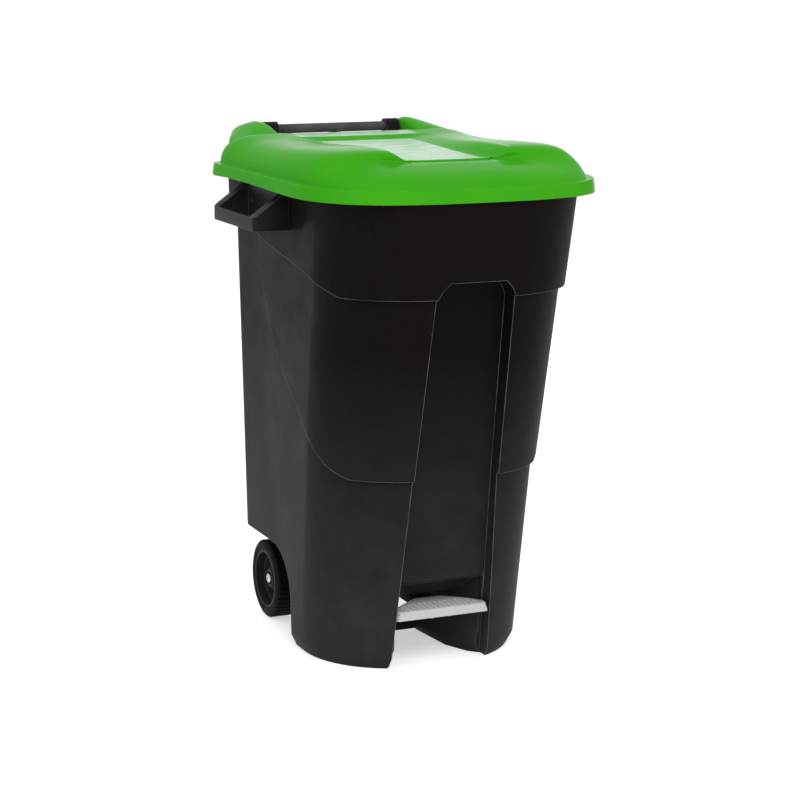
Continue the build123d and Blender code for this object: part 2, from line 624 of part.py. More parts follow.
def pedal_lever():
    """A folded steel channel that rocks on the pivot pin and carries the lift rod at its rear end."""
    front, back = TREAD_FRONT + 10, ROD_Y + 12
    low = LEVER_TOP - LEVER_HEIGHT
    lever = block(-LEVER_HALF, LEVER_HALF, front, back, low, LEVER_TOP)
    inside = LEVER_HALF - LEVER_SHEET
    lever -= block(-inside, inside, front - 1, back + 1, low - 1, LEVER_TOP - LEVER_SHEET)
    lever -= rod_x(PIVOT_RADIUS + RUNNING, -LEVER_HALF - 5, LEVER_HALF + 5, *PIVOT)
    for x, y in tread_screw_spots():
        lever -= rod_z(SCREW_RADIUS + SNUG, low, LEVER_TOP + 1, x, y)
    return lever


def tread_screws():
    seat = LEVER_TOP - LEVER_SHEET
    return [rod_z(SCREW_RADIUS, seat - 0.5, TREAD_TOP - 1.1, x, y) + rod_z(HEAD_RADIUS, seat - HEAD, seat, x, y)
            for x, y in tread_screw_spots()]


def pivot_screw_spots():
    x = LEVER_HALF + 18
    return [(side * x, PIVOT[0] + along) for side in (1, -1) for along in (-12, 12)]


def pivot_bracket(side):
    """A steel angle under the floor that holds one end of the pivot pin."""
    y, z = PIVOT
    x = LEVER_HALF + 0.6
    roof = UNDERSIDE - 0.2
    plate = prism_x([(y - 20, roof), (y - 9, z - 8), (y + 9, z - 8), (y + 20, roof)], x, x + 4)
    plate += block(x, x + 28, y - 20, y + 20, roof - 4, roof)
    plate -= rod_x(PIVOT_RADIUS + SNUG, x - 1, x + 6, y, z)
    for sx, sy in pivot_screw_spots():
        plate -= rod_z(SCREW_RADIUS + SNUG, roof - 6, roof + 1, abs(sx), sy)
    return plate if side > 0 else mirror(plate, Plane.YZ)


def pivot_screws():
    seat = UNDERSIDE - 4.2
    return [rod_z(SCREW_RADIUS, seat - 0.5, UNDERSIDE + WALL + 3, x, y) + rod_z(HEAD_RADIUS, seat - HEAD, seat, x, y)
            for x, y in pivot_screw_spots()]


def pivot_pin():
    """A headed pin, with a groove near its other end for the clip."""
    out = LEVER_HALF + 4.6
    pin = rod_x(PIVOT_RADIUS, -out - 5, out + 0.5, *PIVOT) + rod_x(PIVOT_RADIUS + 3, out + 0.2, out + 3, *PIVOT)
    groove = rod_x(PIVOT_RADIUS + 1, -out - 2, -out - 0.6, *PIVOT)
    return pin - (groove - rod_x(PIVOT_RADIUS - 1, -out - 2, -out - 0.6, *PIVOT))


def pivot_clip():
    out = LEVER_HALF + 4.6
    y, z = PIVOT
    ring = rod_x(PIVOT_RADIUS + 3, -out - 1.8, -out - 0.8, y, z)
    ring -= rod_x(PIVOT_RADIUS - 1 + SNUG, -out - 3, -out, y, z)
    return ring - block(-out - 3, -out, y - 2, y + 2, z - PIVOT_RADIUS - 5, z)


# ---- lift rod
def rod_ends():
    return LEVER_TOP + ROD_SEAT + ROD_FOOT_RADIUS, LINK[1] - SLOT_HALF - YOKE_WALL


def lift_rod():
    low, high = rod_ends()
    return rod_z(ROD_RADIUS, low, high - 4, 0, ROD_Y)


def rod_foot():
    """A round-ended foot on the rod, which the lever pushes up."""
    low = rod_ends()[0]
    foot = Pos(0, ROD_Y, low) * Sphere(ROD_FOOT_RADIUS) + rod_z(ROD_FOOT_RADIUS, low, low + 12, 0, ROD_Y)
    return foot - rod_z(ROD_RADIUS + SNUG, low - 0.1, low + 15, 0, ROD_Y)


def slot_ends():
    """The link pin's path ahead of the hinge axis: furthest out level with it, nearest at full swing."""
    far = hypot(LINK_AHEAD, LINK_BELOW)
    near = LINK_AHEAD - 2
    return HINGE[0] - far, HINGE[0] - near


def lift_yoke():
    """The rod's slotted head, in which the lid's link pin slides."""
    far, near = slot_ends()
    z = LINK[1]
    outer = SLOT_HALF + YOKE_WALL
    slot_front, slot_back = far - LINK_RADIUS - 0.4 + SLOT_HALF, near + LINK_RADIUS + 0.4 - SLOT_HALF
    head = block(-YOKE_HALF, YOKE_HALF, slot_front, slot_back, z - outer, z + outer)
    for y in (slot_front, slot_back):
        head += rod_x(outer, -YOKE_HALF, YOKE_HALF, y, z)
    head += rod_z(ROD_RADIUS + 2, z - outer - 16, z - outer + 1, 0, ROD_Y) & \
        block(-YOKE_HALF, YOKE_HALF, ROD_Y - 10, ROD_Y + 10, z - outer - 16, z)
    head -= block(-9, 9, slot_front, slot_back, z - SLOT_HALF, z + SLOT_HALF)
    for y in (slot_front, slot_back):
        head -= rod_x(SLOT_HALF, -9, 9, y, z)
    return head - rod_z(ROD_RADIUS + SNUG, z - outer - 20, z - outer - 4 + 0.1, 0, ROD_Y)


GUIDE_HEIGHTS = (REAR_RIM - 110, UNDERSIDE + 60)


def guide_screw_spots():
    return [(side * 17, z) for z in GUIDE_HEIGHTS for side in (1, -1)]


def rod_guide(z):
    """A block on the rear wall that the rod slides through."""
    guide = block(-24, 24, REAR + GAP, REAR + 4, z - 9, z + 9) + block(-10, 10, REAR + 3, ROD_Y, z - 9, z + 9)
    guide += rod_z(10, z - 9, z + 9, 0, ROD_Y)
    guide -= rod_z(ROD_RADIUS + RUNNING, z - 12, z + 12, 0, ROD_Y)
    for x, height in guide_screw_spots():
        guide -= rod_y(SCREW_RADIUS + SNUG, REAR, REAR + 6, x, height)
    return guide


def guide_screws():
    return [screw_y(x, z, REAR + 4, 4 + 2 * WALL) for x, z in guide_screw_spots()]


# ---- every sub-part, by name
def export(name, shape):
    solids = shape if isinstance(shape, list) else [shape]
    moved = [Pos(0, -Y_MID, 0) * solid for solid in solids]
    export_step(moved[0] if len(moved) == 1 else Compound(children=moved), f"parts/{name}.step")


os.makedirs("parts", exist_ok=True)
export("body_shell", body_shell())
export("lid", lid())
export("lid_link_pin", link_pin())
export("lid_buffers", lid_buffers())
export("rear_handle_bar", handle_bar())
export("hinge_bracket_right", hinge_bracket(1))
export("hinge_bracket_left", hinge_bracket(-1))
export("hinge_bracket_screws", bracket_screws())
export("lid_hinge_pins", hinge_pins())
export("side_handle_right", side_handle(1))
export("side_handle_left", side_handle(-1))
export("side_handle_screws", side_handle_screws())
export("wheel_right", wheel(1))
export("wheel_left", wheel(-1))
export("tyre_right", tyre(1))
export("tyre_left", tyre(-1))
export("axle", axle())
export("axle_washers", axle_washers())
export("axle_caps", axle_caps())
export("pedal_tread", pedal_tread())
export("pedal_lever", pedal_lever())
export("pedal_screws", tread_screws())
export("pivot_bracket_right", pivot_bracket(1))
export("pivot_bracket_left", pivot_bracket(-1))
export("pivot_bracket_screws", pivot_screws())
export("pivot_pin", pivot_pin())
export("pivot_clip", pivot_clip())
export("lift_rod", lift_rod())
export("lift_rod_foot", rod_foot())
export("lift_rod_yoke", lift_yoke())
export("rod_guide_upper", rod_guide(GUIDE_HEIGHTS[0]))
export("rod_guide_lower", rod_guide(GUIDE_HEIGHTS[1]))
export("rod_guide_screws", guide_screws())
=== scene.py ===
import json
import math

import bmesh
import bpy
from mathutils import Matrix, Vector


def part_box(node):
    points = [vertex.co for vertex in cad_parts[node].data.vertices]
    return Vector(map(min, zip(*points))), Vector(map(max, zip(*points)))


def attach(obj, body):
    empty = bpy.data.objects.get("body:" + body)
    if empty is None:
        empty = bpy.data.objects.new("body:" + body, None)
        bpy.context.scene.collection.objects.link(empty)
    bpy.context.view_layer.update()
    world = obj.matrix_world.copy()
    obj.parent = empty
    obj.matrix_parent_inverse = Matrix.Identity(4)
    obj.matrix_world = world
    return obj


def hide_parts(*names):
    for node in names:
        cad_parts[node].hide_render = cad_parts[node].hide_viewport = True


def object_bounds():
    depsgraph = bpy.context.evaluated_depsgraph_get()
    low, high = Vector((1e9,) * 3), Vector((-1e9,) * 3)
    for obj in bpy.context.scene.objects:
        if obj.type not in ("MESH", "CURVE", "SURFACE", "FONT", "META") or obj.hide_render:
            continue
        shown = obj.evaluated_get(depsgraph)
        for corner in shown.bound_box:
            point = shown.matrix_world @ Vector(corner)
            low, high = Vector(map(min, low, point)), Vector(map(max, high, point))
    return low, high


# A pedal-operated wheelie bin: a black polyethylene body, a glossy green lid and a light grey pedal.
# Everything is in metres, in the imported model's frame: X across, Y from front to back, Z up.
# Tables of sizes are in millimetres, as their comments say, and MM turns them to metres.

bl_info = {
    "name": "Pedal bin",
    "version": (1, 0, 0),
    "blender": (4, 5, 0),
    "location": "View3D > Sidebar > Pedal bin",
    "description": "Builds the visible pieces of a two-wheeled pedal bin around its construction",
    "category": "Add Mesh",
}

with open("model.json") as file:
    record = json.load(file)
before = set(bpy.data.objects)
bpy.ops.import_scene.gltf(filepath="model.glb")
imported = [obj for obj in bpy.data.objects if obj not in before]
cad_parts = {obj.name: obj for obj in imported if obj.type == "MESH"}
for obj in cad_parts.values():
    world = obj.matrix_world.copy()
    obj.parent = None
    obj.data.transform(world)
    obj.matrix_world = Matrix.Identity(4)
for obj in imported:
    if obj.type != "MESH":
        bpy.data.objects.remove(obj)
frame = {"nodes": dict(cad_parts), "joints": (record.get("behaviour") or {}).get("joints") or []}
CAD_BOX = [list(corner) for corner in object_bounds()]
NODES = frame["nodes"]
JOINTS = {joint["name"]: joint for joint in frame["joints"]}
MM = 0.001
HINGE = Vector(JOINTS["lid_hinge"]["pos_m"])
AXLE = Vector(JOINTS["wheel_spin_right"]["pos_m"])
LID_LOW, LID_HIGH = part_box("lid")
TREAD_LOW, TREAD_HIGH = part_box("pedal_tread")
TYRE_LOW, TYRE_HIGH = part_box("tyre_right")
WHEEL_LOW, WHEEL_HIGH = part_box("wheel_right")
WHITE = (1, 1, 1, 1)
SKY_LIGHT = 0.62        # strength of the even light from all round
FLOOR_GLOW = 0.52       # lifts the lit floor to plain white to the eye
CAMERA_TARGET = Vector((-0.14097, -0.3215, 0.49596))


# ---- sizes and colours that a user would change
def length(name, description, default):
    """A length property, in metres."""
    return bpy.props.FloatProperty(name=name, description=description, default=default, subtype="DISTANCE",
                                   unit="LENGTH", precision=4)


def colour(name, description, code):
    """A colour property, shown as a hex value."""
    return bpy.props.StringProperty(name=name, description=description, default=code)


class LidSizes(bpy.types.PropertyGroup):
    skirt: length("Skirt", "Height of the band round the lid's edge", 22 * MM)
    wall: length("Wall", "Thickness of the lid", 3.5 * MM)
    front_corner: length("Front corner", "Radius of the lid's front corners", 170 * MM)
    rear_corner: length("Rear corner", "Radius of the lid's rear corners", 56 * MM)
    bow: length("Bow", "How far the front edge bows out", 22 * MM)
    crown: length("Crown", "Height of the shoulders over the ledge", 52 * MM)
    valley: length("Valley", "Depth of the sunken middle under the shoulders", 23 * MM)


class WheelSizes(bpy.types.PropertyGroup):
    lugs: bpy.props.IntProperty(name="Tread lugs", description="Lugs round each tyre", default=44, min=12)
    groove: length("Groove", "Depth of the grooves between the lugs", 1.6 * MM)
    cap: length("Cap radius", "Radius of the bright cap on the axle's end", 8.6 * MM)
    recess: length("Recess radius", "Radius of the dark recess round the cap", 11.6 * MM)


class PedalSizes(bpy.types.PropertyGroup):
    chamfer: length("Chamfer", "Slope of the lip, from the tread's top to its lower edge", 4.5 * MM)
    lug_length: length("Lug length", "Length of each non-slip lug", 8 * MM)
    lug_height: length("Lug height", "Height of each non-slip lug", 0.9 * MM)
    rows: bpy.props.IntProperty(name="Rows", description="Rows of non-slip lugs", default=5, min=1)


class FinishColours(bpy.types.PropertyGroup):
    lid: colour("Lid", "Bright green polyethylene", "#40A51A")
    body: colour("Body", "Black polyethylene of the body", "#151010")
    grips: colour("Grips", "Black polypropylene of handles and brackets", "#1C1A1D")
    # The bar's grey is paler than the grips' partly as a painted reflection, standing in for the shine of the
    # glossy tube.
    bar: colour("Bar", "Dark grey tube of the rear handle bar", "#57565A")
    wheel: colour("Wheel", "Black nylon of the wheels", "#141316")
    pedal: colour("Pedal", "Light grey polypropylene", "#C5CACE")
    tyre: colour("Tyre", "Black rubber", "#141315")
    zinc: colour("Zinc", "Bright zinc plating", "#C9CACC")
    steel: colour("Steel", "Dull hot-dip galvanised steel", "#A9ADB0")
    floor: colour("Floor", "Pale painted floor", "#F4F4F4")


class StageSizes(bpy.types.PropertyGroup):
    azimuth: bpy.props.FloatProperty(name="Azimuth", description="Camera's direction from straight ahead",
                                     default=math.radians(-23.22), subtype="ANGLE")
    elevation: bpy.props.FloatProperty(name="Elevation", description="Camera's height as an angle",
                                       default=math.radians(11.34), subtype="ANGLE")
    distance: length("Distance", "From the camera to the point it looks at", 3.4087)
    lens: bpy.props.FloatProperty(name="Lens", description="Focal length in millimetres", default=98.55)


# ---- node materials
def linear(code):
    """An sRGB hex value as a linear colour."""
    parts = [int(code[i:i + 2], 16) / 255 for i in (1, 3, 5)]
    return [p / 12.92 if p <= 0.04045 else ((p + 0.055) / 1.055) ** 2.4 for p in parts] + [1.0]


def add(tree, kind, inputs=None, give=0, **settings):
    """Adds a node with its settings and links, and returns one of its outputs.

    An input is a value, or another node's output to link.
    """
    node = tree.nodes.new("ShaderNode" + kind)
    for name, value in settings.items():
        setattr(node, name, value)
    for name, value in (inputs or {}).items():
        if isinstance(value, bpy.types.NodeSocket):
            tree.links.new(value, node.inputs[name])
        else:
            node.inputs[name].default_value = value
    return node.outputs[give] if node.outputs else None


def blank(name):
    """A new material with an empty tree, and the place on the object in metres."""
    material = bpy.data.materials.new(name)
    material.use_nodes = True
    tree = material.node_tree
    tree.nodes.clear()
    return material, tree, add(tree, "TexCoord", give="Object")


def painted_edge_highlights(tree, place, least, most):
    """How strongly each edge gets a painted pale highlight, on a strip 2 mm wide and in patches of about 40
    mm.
    """
    rounded = add(tree, "Bevel", {"Radius": 1.6 * MM}, samples=6)
    flat = add(tree, "NewGeometry", give="Normal")
    facing = add(tree, "VectorMath", {0: rounded, 1: flat}, "Value", operation="DOT_PRODUCT")
    strip = add(tree, "MapRange", {0: facing, 1: 0.995, 2: 0.93})
    patch = add(tree, "TexNoise", {"Vector": place, "Scale": 25.0, "Detail": 3.0})
    highlight_patches = add(tree, "MapRange", {0: patch, 1: 0.3, 2: 0.7, 3: least, 4: most})
    return add(tree, "Math", {0: strip, 1: highlight_patches}, operation="MULTIPLY")


def painted_reflection_mask(tree, place):
    """Where the painted reflection goes: one on the level floor of the lid's sunken middle, and nothing
    elsewhere.
    """
    facing_up = add(tree, "SeparateXYZ", {0: add(tree, "NewGeometry", give="Normal")}, 2)
    level = add(tree, "MapRange", {0: facing_up, 1: 0.988, 2: 0.998})
    aside = add(tree, "Math", {0: add(tree, "SeparateXYZ", {0: place})}, operation="ABSOLUTE")
    inside = add(tree, "MapRange", {0: aside, 1: 118 * MM, 2: 104 * MM})
    height = add(tree, "SeparateXYZ", {0: place}, 2)
    raised = add(tree, "MapRange", {0: height, 1: LID_LOW.z + 50 * MM, 2: LID_LOW.z + 52 * MM})
    both = add(tree, "Math", {0: level, 1: inside}, operation="MULTIPLY")
    return add(tree, "Math", {0: both, 1: raised}, operation="MULTIPLY")


def lid_polyethylene(code):
    """Glossy moulded polyethylene: ripples in the gloss, and a painted pale streaked reflection on the sunken
    floor.
    """
    material, tree, place = blank("glossy_moulded_polyethylene")
    green = linear(code)
    deep = [green[0] * 0.6, green[1] * 0.9, green[2] * 1.3, 1]
    cloud = add(tree, "TexNoise", {"Vector": place, "Scale": 9.0, "Detail": 3.0})  # drifts over 110 mm
    drift = add(tree, "MapRange", {0: cloud, 1: 0.35, 2: 0.7, 4: 0.55})
    mixed = add(tree, "Mix", {0: drift, 6: green, 7: deep}, 2, data_type="RGBA")
    pigment = add(tree, "TexNoise", {"Vector": place, "Scale": 900.0})  # specks about 1 mm
    speck = add(tree, "MapRange", {0: pigment, 1: 0.62, 2: 0.8, 4: 0.12})
    mixed = add(tree, "Mix", {0: speck, 6: mixed, 7: deep}, 2, data_type="RGBA")
    # Painted reflection: a pale streaked patch on the level floor of the sunken middle, standing in for the
    # white that the glossy floor reflects.
    reflection_stretch = add(tree, "Mapping", {"Vector": place, "Scale": (22, 120, 60)})  # streaks 45 mm long
    reflection_streaks = add(tree, "TexNoise", {"Vector": reflection_stretch, "Scale": 1.0, "Detail": 4.0, "Roughness": 0.6})
    streak = add(tree, "MapRange", {0: reflection_streaks, 1: 0.28, 2: 0.6, 3: 0.32, 4: 0.84})
    pale_patch = add(tree, "Math", {0: painted_reflection_mask(tree, place), 1: streak}, operation="MULTIPLY")
    mixed = add(tree, "Mix", {0: pale_patch, 6: mixed, 7: linear("#D2EBDC")}, 2, data_type="RGBA")
    dimples = add(tree, "TexNoise", {"Vector": place, "Scale": 260.0, "Detail": 1.0})  # 4 mm orange peel
    peel = add(tree, "Bump", {"Strength": 0.055, "Distance": 0.4 * MM, "Height": dimples})
    flowing = add(tree, "Mapping", {"Vector": place, "Scale": (30, 130, 60)})  # lines 8 to 30 mm long
    flow = add(tree, "TexNoise", {"Vector": flowing, "Scale": 1.0, "Detail": 3.0})
    ripples = add(tree, "Bump", {"Strength": 0.16, "Distance": 1.0 * MM, "Height": flow, "Normal": peel})
    gloss = add(tree, "MapRange", {0: flow, 1: 0.3, 2: 0.7, 3: 0.1, 4: 0.17})
    surface = add(tree, "BsdfPrincipled", {"Base Color": mixed, "Roughness": gloss, "IOR": 1.51,
                                           "Specular IOR Level": 0.008, "Normal": ripples})
    add(tree, "OutputMaterial", {0: surface})
    return material


def body_polyethylene(code):
    """Satin moulded polyethylene: a fine spark-eroded grain, upright drag marks, painted edge highlights, and
    painted light from the floor near its foot.
    """
    material, tree, place = blank("satin_grained_polyethylene")
    # A pale grey for the drag marks, and for the painted floor light near the foot.
    black, dust_and_floor_light = linear(code), linear("#3B383C")
    # Painted light: paler towards the foot, in patches of about 70 mm, standing in for light bounced up from
    # the pale floor.
    height = add(tree, "SeparateXYZ", {0: place}, 2)
    low_down = add(tree, "MapRange", {0: height, 1: 0.55, 2: 0.05, 4: 0.95})
    patch = add(tree, "TexNoise", {"Vector": place, "Scale": 14.0, "Detail": 4.0, "Roughness": 0.6})  # 70 mm
    floor_light_patches = add(tree, "MapRange", {0: patch, 1: 0.25, 2: 0.75, 3: 0.55})
    painted_floor_light = add(tree, "Math", {0: low_down, 1: floor_light_patches}, operation="MULTIPLY")
    mixed = add(tree, "Mix", {0: painted_floor_light, 6: black, 7: dust_and_floor_light}, 2, data_type="RGBA")
    upright = add(tree, "Mapping", {"Vector": place, "Scale": (420, 420, 7)})  # 2 mm wide, 140 mm tall
    drag = add(tree, "TexNoise", {"Vector": upright, "Scale": 1.0, "Detail": 3.0})
    dragged = add(tree, "MapRange", {0: drag, 1: 0.55, 2: 0.8, 4: 0.1})
    mixed = add(tree, "Mix", {0: dragged, 6: mixed, 7: dust_and_floor_light}, 2, data_type="RGBA")
    # Painted highlight: pale strips along the rounded edges, standing in for the light they catch.
    edge_highlight = painted_edge_highlights(tree, place, 0.35, 1.0)
    mixed = add(tree, "Mix", {0: edge_highlight, 6: mixed, 7: linear("#8A888E")}, 2, data_type="RGBA")
    grain = add(tree, "TexNoise", {"Vector": place, "Scale": 1100.0, "Roughness": 0.6})  # 1 mm grain
    bump = add(tree, "Bump", {"Strength": 0.28, "Distance": 0.25 * MM, "Height": grain})
    gloss = add(tree, "MapRange", {0: patch, 1: 0.3, 2: 0.7, 3: 0.42, 4: 0.52})
    surface = add(tree, "BsdfPrincipled", {"Base Color": mixed, "Roughness": gloss, "IOR": 1.5,
                                           "Specular IOR Level": 0.02, "Normal": bump})
    add(tree, "OutputMaterial", {0: surface})
    return material


def grip_polypropylene(code, name):
    """Satin moulded polypropylene: a little greyer and smoother than the body, with painted pale highlights
    on its edges.
    """
    material, tree, place = blank(name)
    patch = add(tree, "TexNoise", {"Vector": place, "Scale": 35.0, "Detail": 3.0})  # blotches of 30 mm
    blotch = add(tree, "MapRange", {0: patch, 1: 0.35, 2: 0.7, 4: 0.5})
    mixed = add(tree, "Mix", {0: blotch, 6: linear(code), 7: linear("#27262A")}, 2, data_type="RGBA")
    # Painted highlight: pale strips along the rounded edges, standing in for the light they catch.
    edge_highlight = painted_edge_highlights(tree, place, 0.28, 0.8)
    mixed = add(tree, "Mix", {0: edge_highlight, 6: mixed, 7: linear("#6E6C72")}, 2, data_type="RGBA")
    grain = add(tree, "TexNoise", {"Vector": place, "Scale": 1400.0})  # grain of 0.7 mm
    bump = add(tree, "Bump", {"Strength": 0.25, "Distance": 0.2 * MM, "Height": grain})
    gloss = add(tree, "MapRange", {0: patch, 1: 0.3, 2: 0.7, 3: 0.36, 4: 0.46})
    surface = add(tree, "BsdfPrincipled", {"Base Color": mixed, "Roughness": gloss, "IOR": 1.49,
                                           "Specular IOR Level": 0.05, "Normal": bump})
    add(tree, "OutputMaterial", {0: surface})
    return material


def pedal_polypropylene(code):
    """Light grey moulded polypropylene: satin, with scuffs from front to back, and darker in its hollows."""
    material, tree, place = blank("scuffed_grey_polypropylene")
    trodden = add(tree, "Mapping", {"Vector": place, "Scale": (900, 60, 300)})  # scratches 1 mm wide
    scuff = add(tree, "TexNoise", {"Vector": trodden, "Scale": 1.0, "Detail": 4.0, "Roughness": 0.65})
    scuffed = add(tree, "MapRange", {0: scuff, 1: 0.58, 2: 0.78, 4: 0.3})
    mixed = add(tree, "Mix", {0: scuffed, 6: linear(code), 7: linear("#8E9498")}, 2, data_type="RGBA")
    # Darker in the hollows, where the surface curves inwards.
    edge = add(tree, "NewGeometry", give="Pointiness")
    darker_in_hollows = add(tree, "MapRange", {0: edge, 1: 0.5, 2: 0.44, 4: 0.45})
    mixed = add(tree, "Mix", {0: darker_in_hollows, 6: mixed, 7: linear("#7B8387")}, 2, data_type="RGBA")
    grain = add(tree, "TexNoise", {"Vector": place, "Scale": 1300.0})  # grain of 0.8 mm
    bump = add(tree, "Bump", {"Strength": 0.2, "Distance": 0.2 * MM, "Height": grain})
    gloss = add(tree, "MapRange", {0: scuff, 1: 0.3, 2: 0.8, 3: 0.38, 4: 0.55})
    surface = add(tree, "BsdfPrincipled", {"Base Color": mixed, "Roughness": gloss, "IOR": 1.49,
                                           "Normal": bump})
    add(tree, "OutputMaterial", {0: surface})
    return material


def tyre_rubber(code):
    """Vulcanised rubber: nearly matte, with grey bloomed patches and a fine speckle from the mould."""
    material, tree, place = blank("vulcanised_tyre_rubber")
    patch = add(tree, "TexNoise", {"Vector": place, "Scale": 40.0, "Detail": 4.0})  # patches of 25 mm
    pale_patch = add(tree, "MapRange", {0: patch, 1: 0.4, 2: 0.75, 4: 0.5})
    mixed = add(tree, "Mix", {0: pale_patch, 6: linear(code), 7: linear("#252425")}, 2, data_type="RGBA")
    speck = add(tree, "TexNoise", {"Vector": place, "Scale": 1500.0, "Detail": 3.0})  # speckle of 0.7 mm
    bump = add(tree, "Bump", {"Strength": 0.35, "Distance": 0.25 * MM, "Height": speck})
    gloss = add(tree, "MapRange", {0: patch, 1: 0.3, 2: 0.7, 3: 0.6, 4: 0.75})
    surface = add(tree, "BsdfPrincipled", {"Base Color": mixed, "Roughness": gloss, "IOR": 1.52,
                                           "Specular IOR Level": 0.05, "Normal": bump})
    add(tree, "OutputMaterial", {0: surface})
    return material


def zinc_plating(code):
    """Bright zinc-plated steel: a soft cool shine with faint turning lines."""
    material, tree, place = blank("bright_zinc_plated_steel")
    cloud = add(tree, "TexNoise", {"Vector": place, "Scale": 160.0, "Detail": 3.0})  # clouding of 6 mm
    dulled = add(tree, "MapRange", {0: cloud, 1: 0.35, 2: 0.7, 4: 0.5})
    mixed = add(tree, "Mix", {0: dulled, 6: linear(code), 7: linear("#9EA3A8")}, 2, data_type="RGBA")
    turning = add(tree, "Mapping", {"Vector": place, "Scale": (2600, 500, 500)})  # lines 0.4 mm apart
    turned = add(tree, "TexNoise", {"Vector": turning, "Scale": 1.0})
    bump = add(tree, "Bump", {"Strength": 0.15, "Distance": 0.1 * MM, "Height": turned})
    gloss = add(tree, "MapRange", {0: cloud, 1: 0.3, 2: 0.7, 3: 0.22, 4: 0.36})
    surface = add(tree, "BsdfPrincipled", {"Base Color": mixed, "Metallic": 1.0, "Roughness": gloss,
                                           "Normal": bump})
    add(tree, "OutputMaterial", {0: surface})
    return material


def galvanising(code):
    """Hot-dip galvanised steel: dull grey spangle, a few millimetres to a crystal."""
    material, tree, place = blank("hot_dip_galvanised_steel")
    spangle = add(tree, "TexVoronoi", {"Vector": place, "Scale": 170.0}, "Color")  # crystals of 6 mm
    shine = add(tree, "SeparateXYZ", {0: spangle})
    mixed = add(tree, "Mix", {0: shine, 6: linear(code), 7: linear("#7F858A")}, 2, data_type="RGBA")
    frost = add(tree, "TexNoise", {"Vector": place, "Scale": 1200.0})  # frosting of 0.8 mm
    bump = add(tree, "Bump", {"Strength": 0.12, "Distance": 0.15 * MM, "Height": frost})
    gloss = add(tree, "MapRange", {0: shine, 3: 0.34, 4: 0.52})
    surface = add(tree, "BsdfPrincipled", {"Base Color": mixed, "Metallic": 1.0, "Roughness": gloss,
                                           "Normal": bump})
    add(tree, "OutputMaterial", {0: surface})
    return material


def seen_ray(tree):
    """One for rays that the eye, a mirror or a glass sends out, and nothing for light on the object."""
    eye, mirror, glass = (add(tree, "LightPath", give=f"Is {kind} Ray") for kind in
                          ("Camera", "Glossy", "Transmission"))
    first = add(tree, "Math", {0: eye, 1: mirror}, operation="MAXIMUM")
    return add(tree, "Math", {0: first, 1: glass}, operation="MAXIMUM")


def floor_paint(code):
    """Pale matte paint that stays white to the eye and keeps the object's soft shadow."""
    material, tree, place = blank("pale_matte_floor_paint")
    roller = add(tree, "TexNoise", {"Vector": place, "Scale": 90.0})  # stipple of 11 mm
    bump = add(tree, "Bump", {"Strength": 0.03, "Distance": 0.3 * MM, "Height": roller})
    paint = add(tree, "BsdfDiffuse", {"Color": linear(code), "Normal": bump})
    glow = add(tree, "Math", {0: seen_ray(tree), 1: FLOOR_GLOW}, operation="MULTIPLY")
    white = add(tree, "Emission", {"Color": WHITE, "Strength": glow})
    add(tree, "OutputMaterial", {0: add(tree, "AddShader", {0: paint, 1: white})})
    return material


MATERIALS = {}


def material(name):
    """Each finish, made once from the colours in the sidebar."""
    if not MATERIALS:
        chosen = bpy.context.scene.pedal_bin_colours
        MATERIALS.update(lid=lid_polyethylene(chosen.lid), body=body_polyethylene(chosen.body),
                         grips=grip_polypropylene(chosen.grips, "grained_polypropylene"),
                         bar=grip_polypropylene(chosen.bar, "satin_extruded_tube"),
                         wheel=grip_polypropylene(chosen.wheel, "moulded_nylon"),
                         pedal=pedal_polypropylene(chosen.pedal), tyre=tyre_rubber(chosen.tyre),
                         zinc=zinc_plating(chosen.zinc), galvanised=galvanising(chosen.steel))
    return MATERIALS[name]


# ---- mesh helpers
MERGE = 2e-5            # construction vertices nearer than this are one
MOULDED_EDGE = 28.0     # edges bent by more degrees than this are rounded


def finish_piece(mesh, name, body, finish, replaces=(), smooth=35.0):
    """Turns a bmesh into a piece that rides on a body; edges bent by more than smooth degrees stay crisp."""
    bmesh.ops.remove_doubles(mesh, verts=mesh.verts, dist=1e-6)
    bmesh.ops.recalc_face_normals(mesh, faces=mesh.faces)
    data = bpy.data.meshes.new(name)
    mesh.to_mesh(data)
    mesh.free()
    data.shade_smooth()
    data.set_sharp_from_angle(angle=math.radians(smooth))
    piece = bpy.data.objects.new(name, data)
    bpy.context.scene.collection.objects.link(piece)
    data.materials.append(material(finish))
    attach(piece, body)
    if replaces:
        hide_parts(*replaces)
    return piece


def polygon(mesh, points):
    """One face through a ring of points."""
    return mesh.faces.new([mesh.verts.new(p) for p in points])


def pull(mesh, face, offset):
    """Extrudes a face by an offset and returns its far end."""
    made = bmesh.ops.extrude_face_region(mesh, geom=[face])
    bmesh.ops.translate(mesh, vec=offset, verts=fresh_verts(made))
    return fresh_face(made)


def lathe(mesh, profile, centre, steps):
    """Spins an open (x, radius) profile, in millimetres, once round a line along X."""
    verts = [mesh.verts.new(centre + Vector((x, 0, radius)) * MM) for x, radius in profile]
    edges = [mesh.edges.new(pair) for pair in zip(verts, verts[1:])]
    bmesh.ops.spin(mesh, geom=verts + edges, cent=centre, axis=(1, 0, 0), angle=math.tau, steps=steps,
                   use_merge=True)
    bmesh.ops.remove_doubles(mesh, verts=mesh.verts, dist=1e-6)


def add_modifier(piece, kind, **settings):
    """Adds a modifier with its settings."""
    modifier = piece.modifiers.new(kind.lower(), kind)
    for name, value in settings.items():
        setattr(modifier, name, value)


def merged(node):
    """A construction node's loose triangles joined into one mesh."""
    mesh = bmesh.new()
    mesh.from_mesh(NODES[node].data)
    bmesh.ops.remove_doubles(mesh, verts=mesh.verts, dist=MERGE)
    return mesh


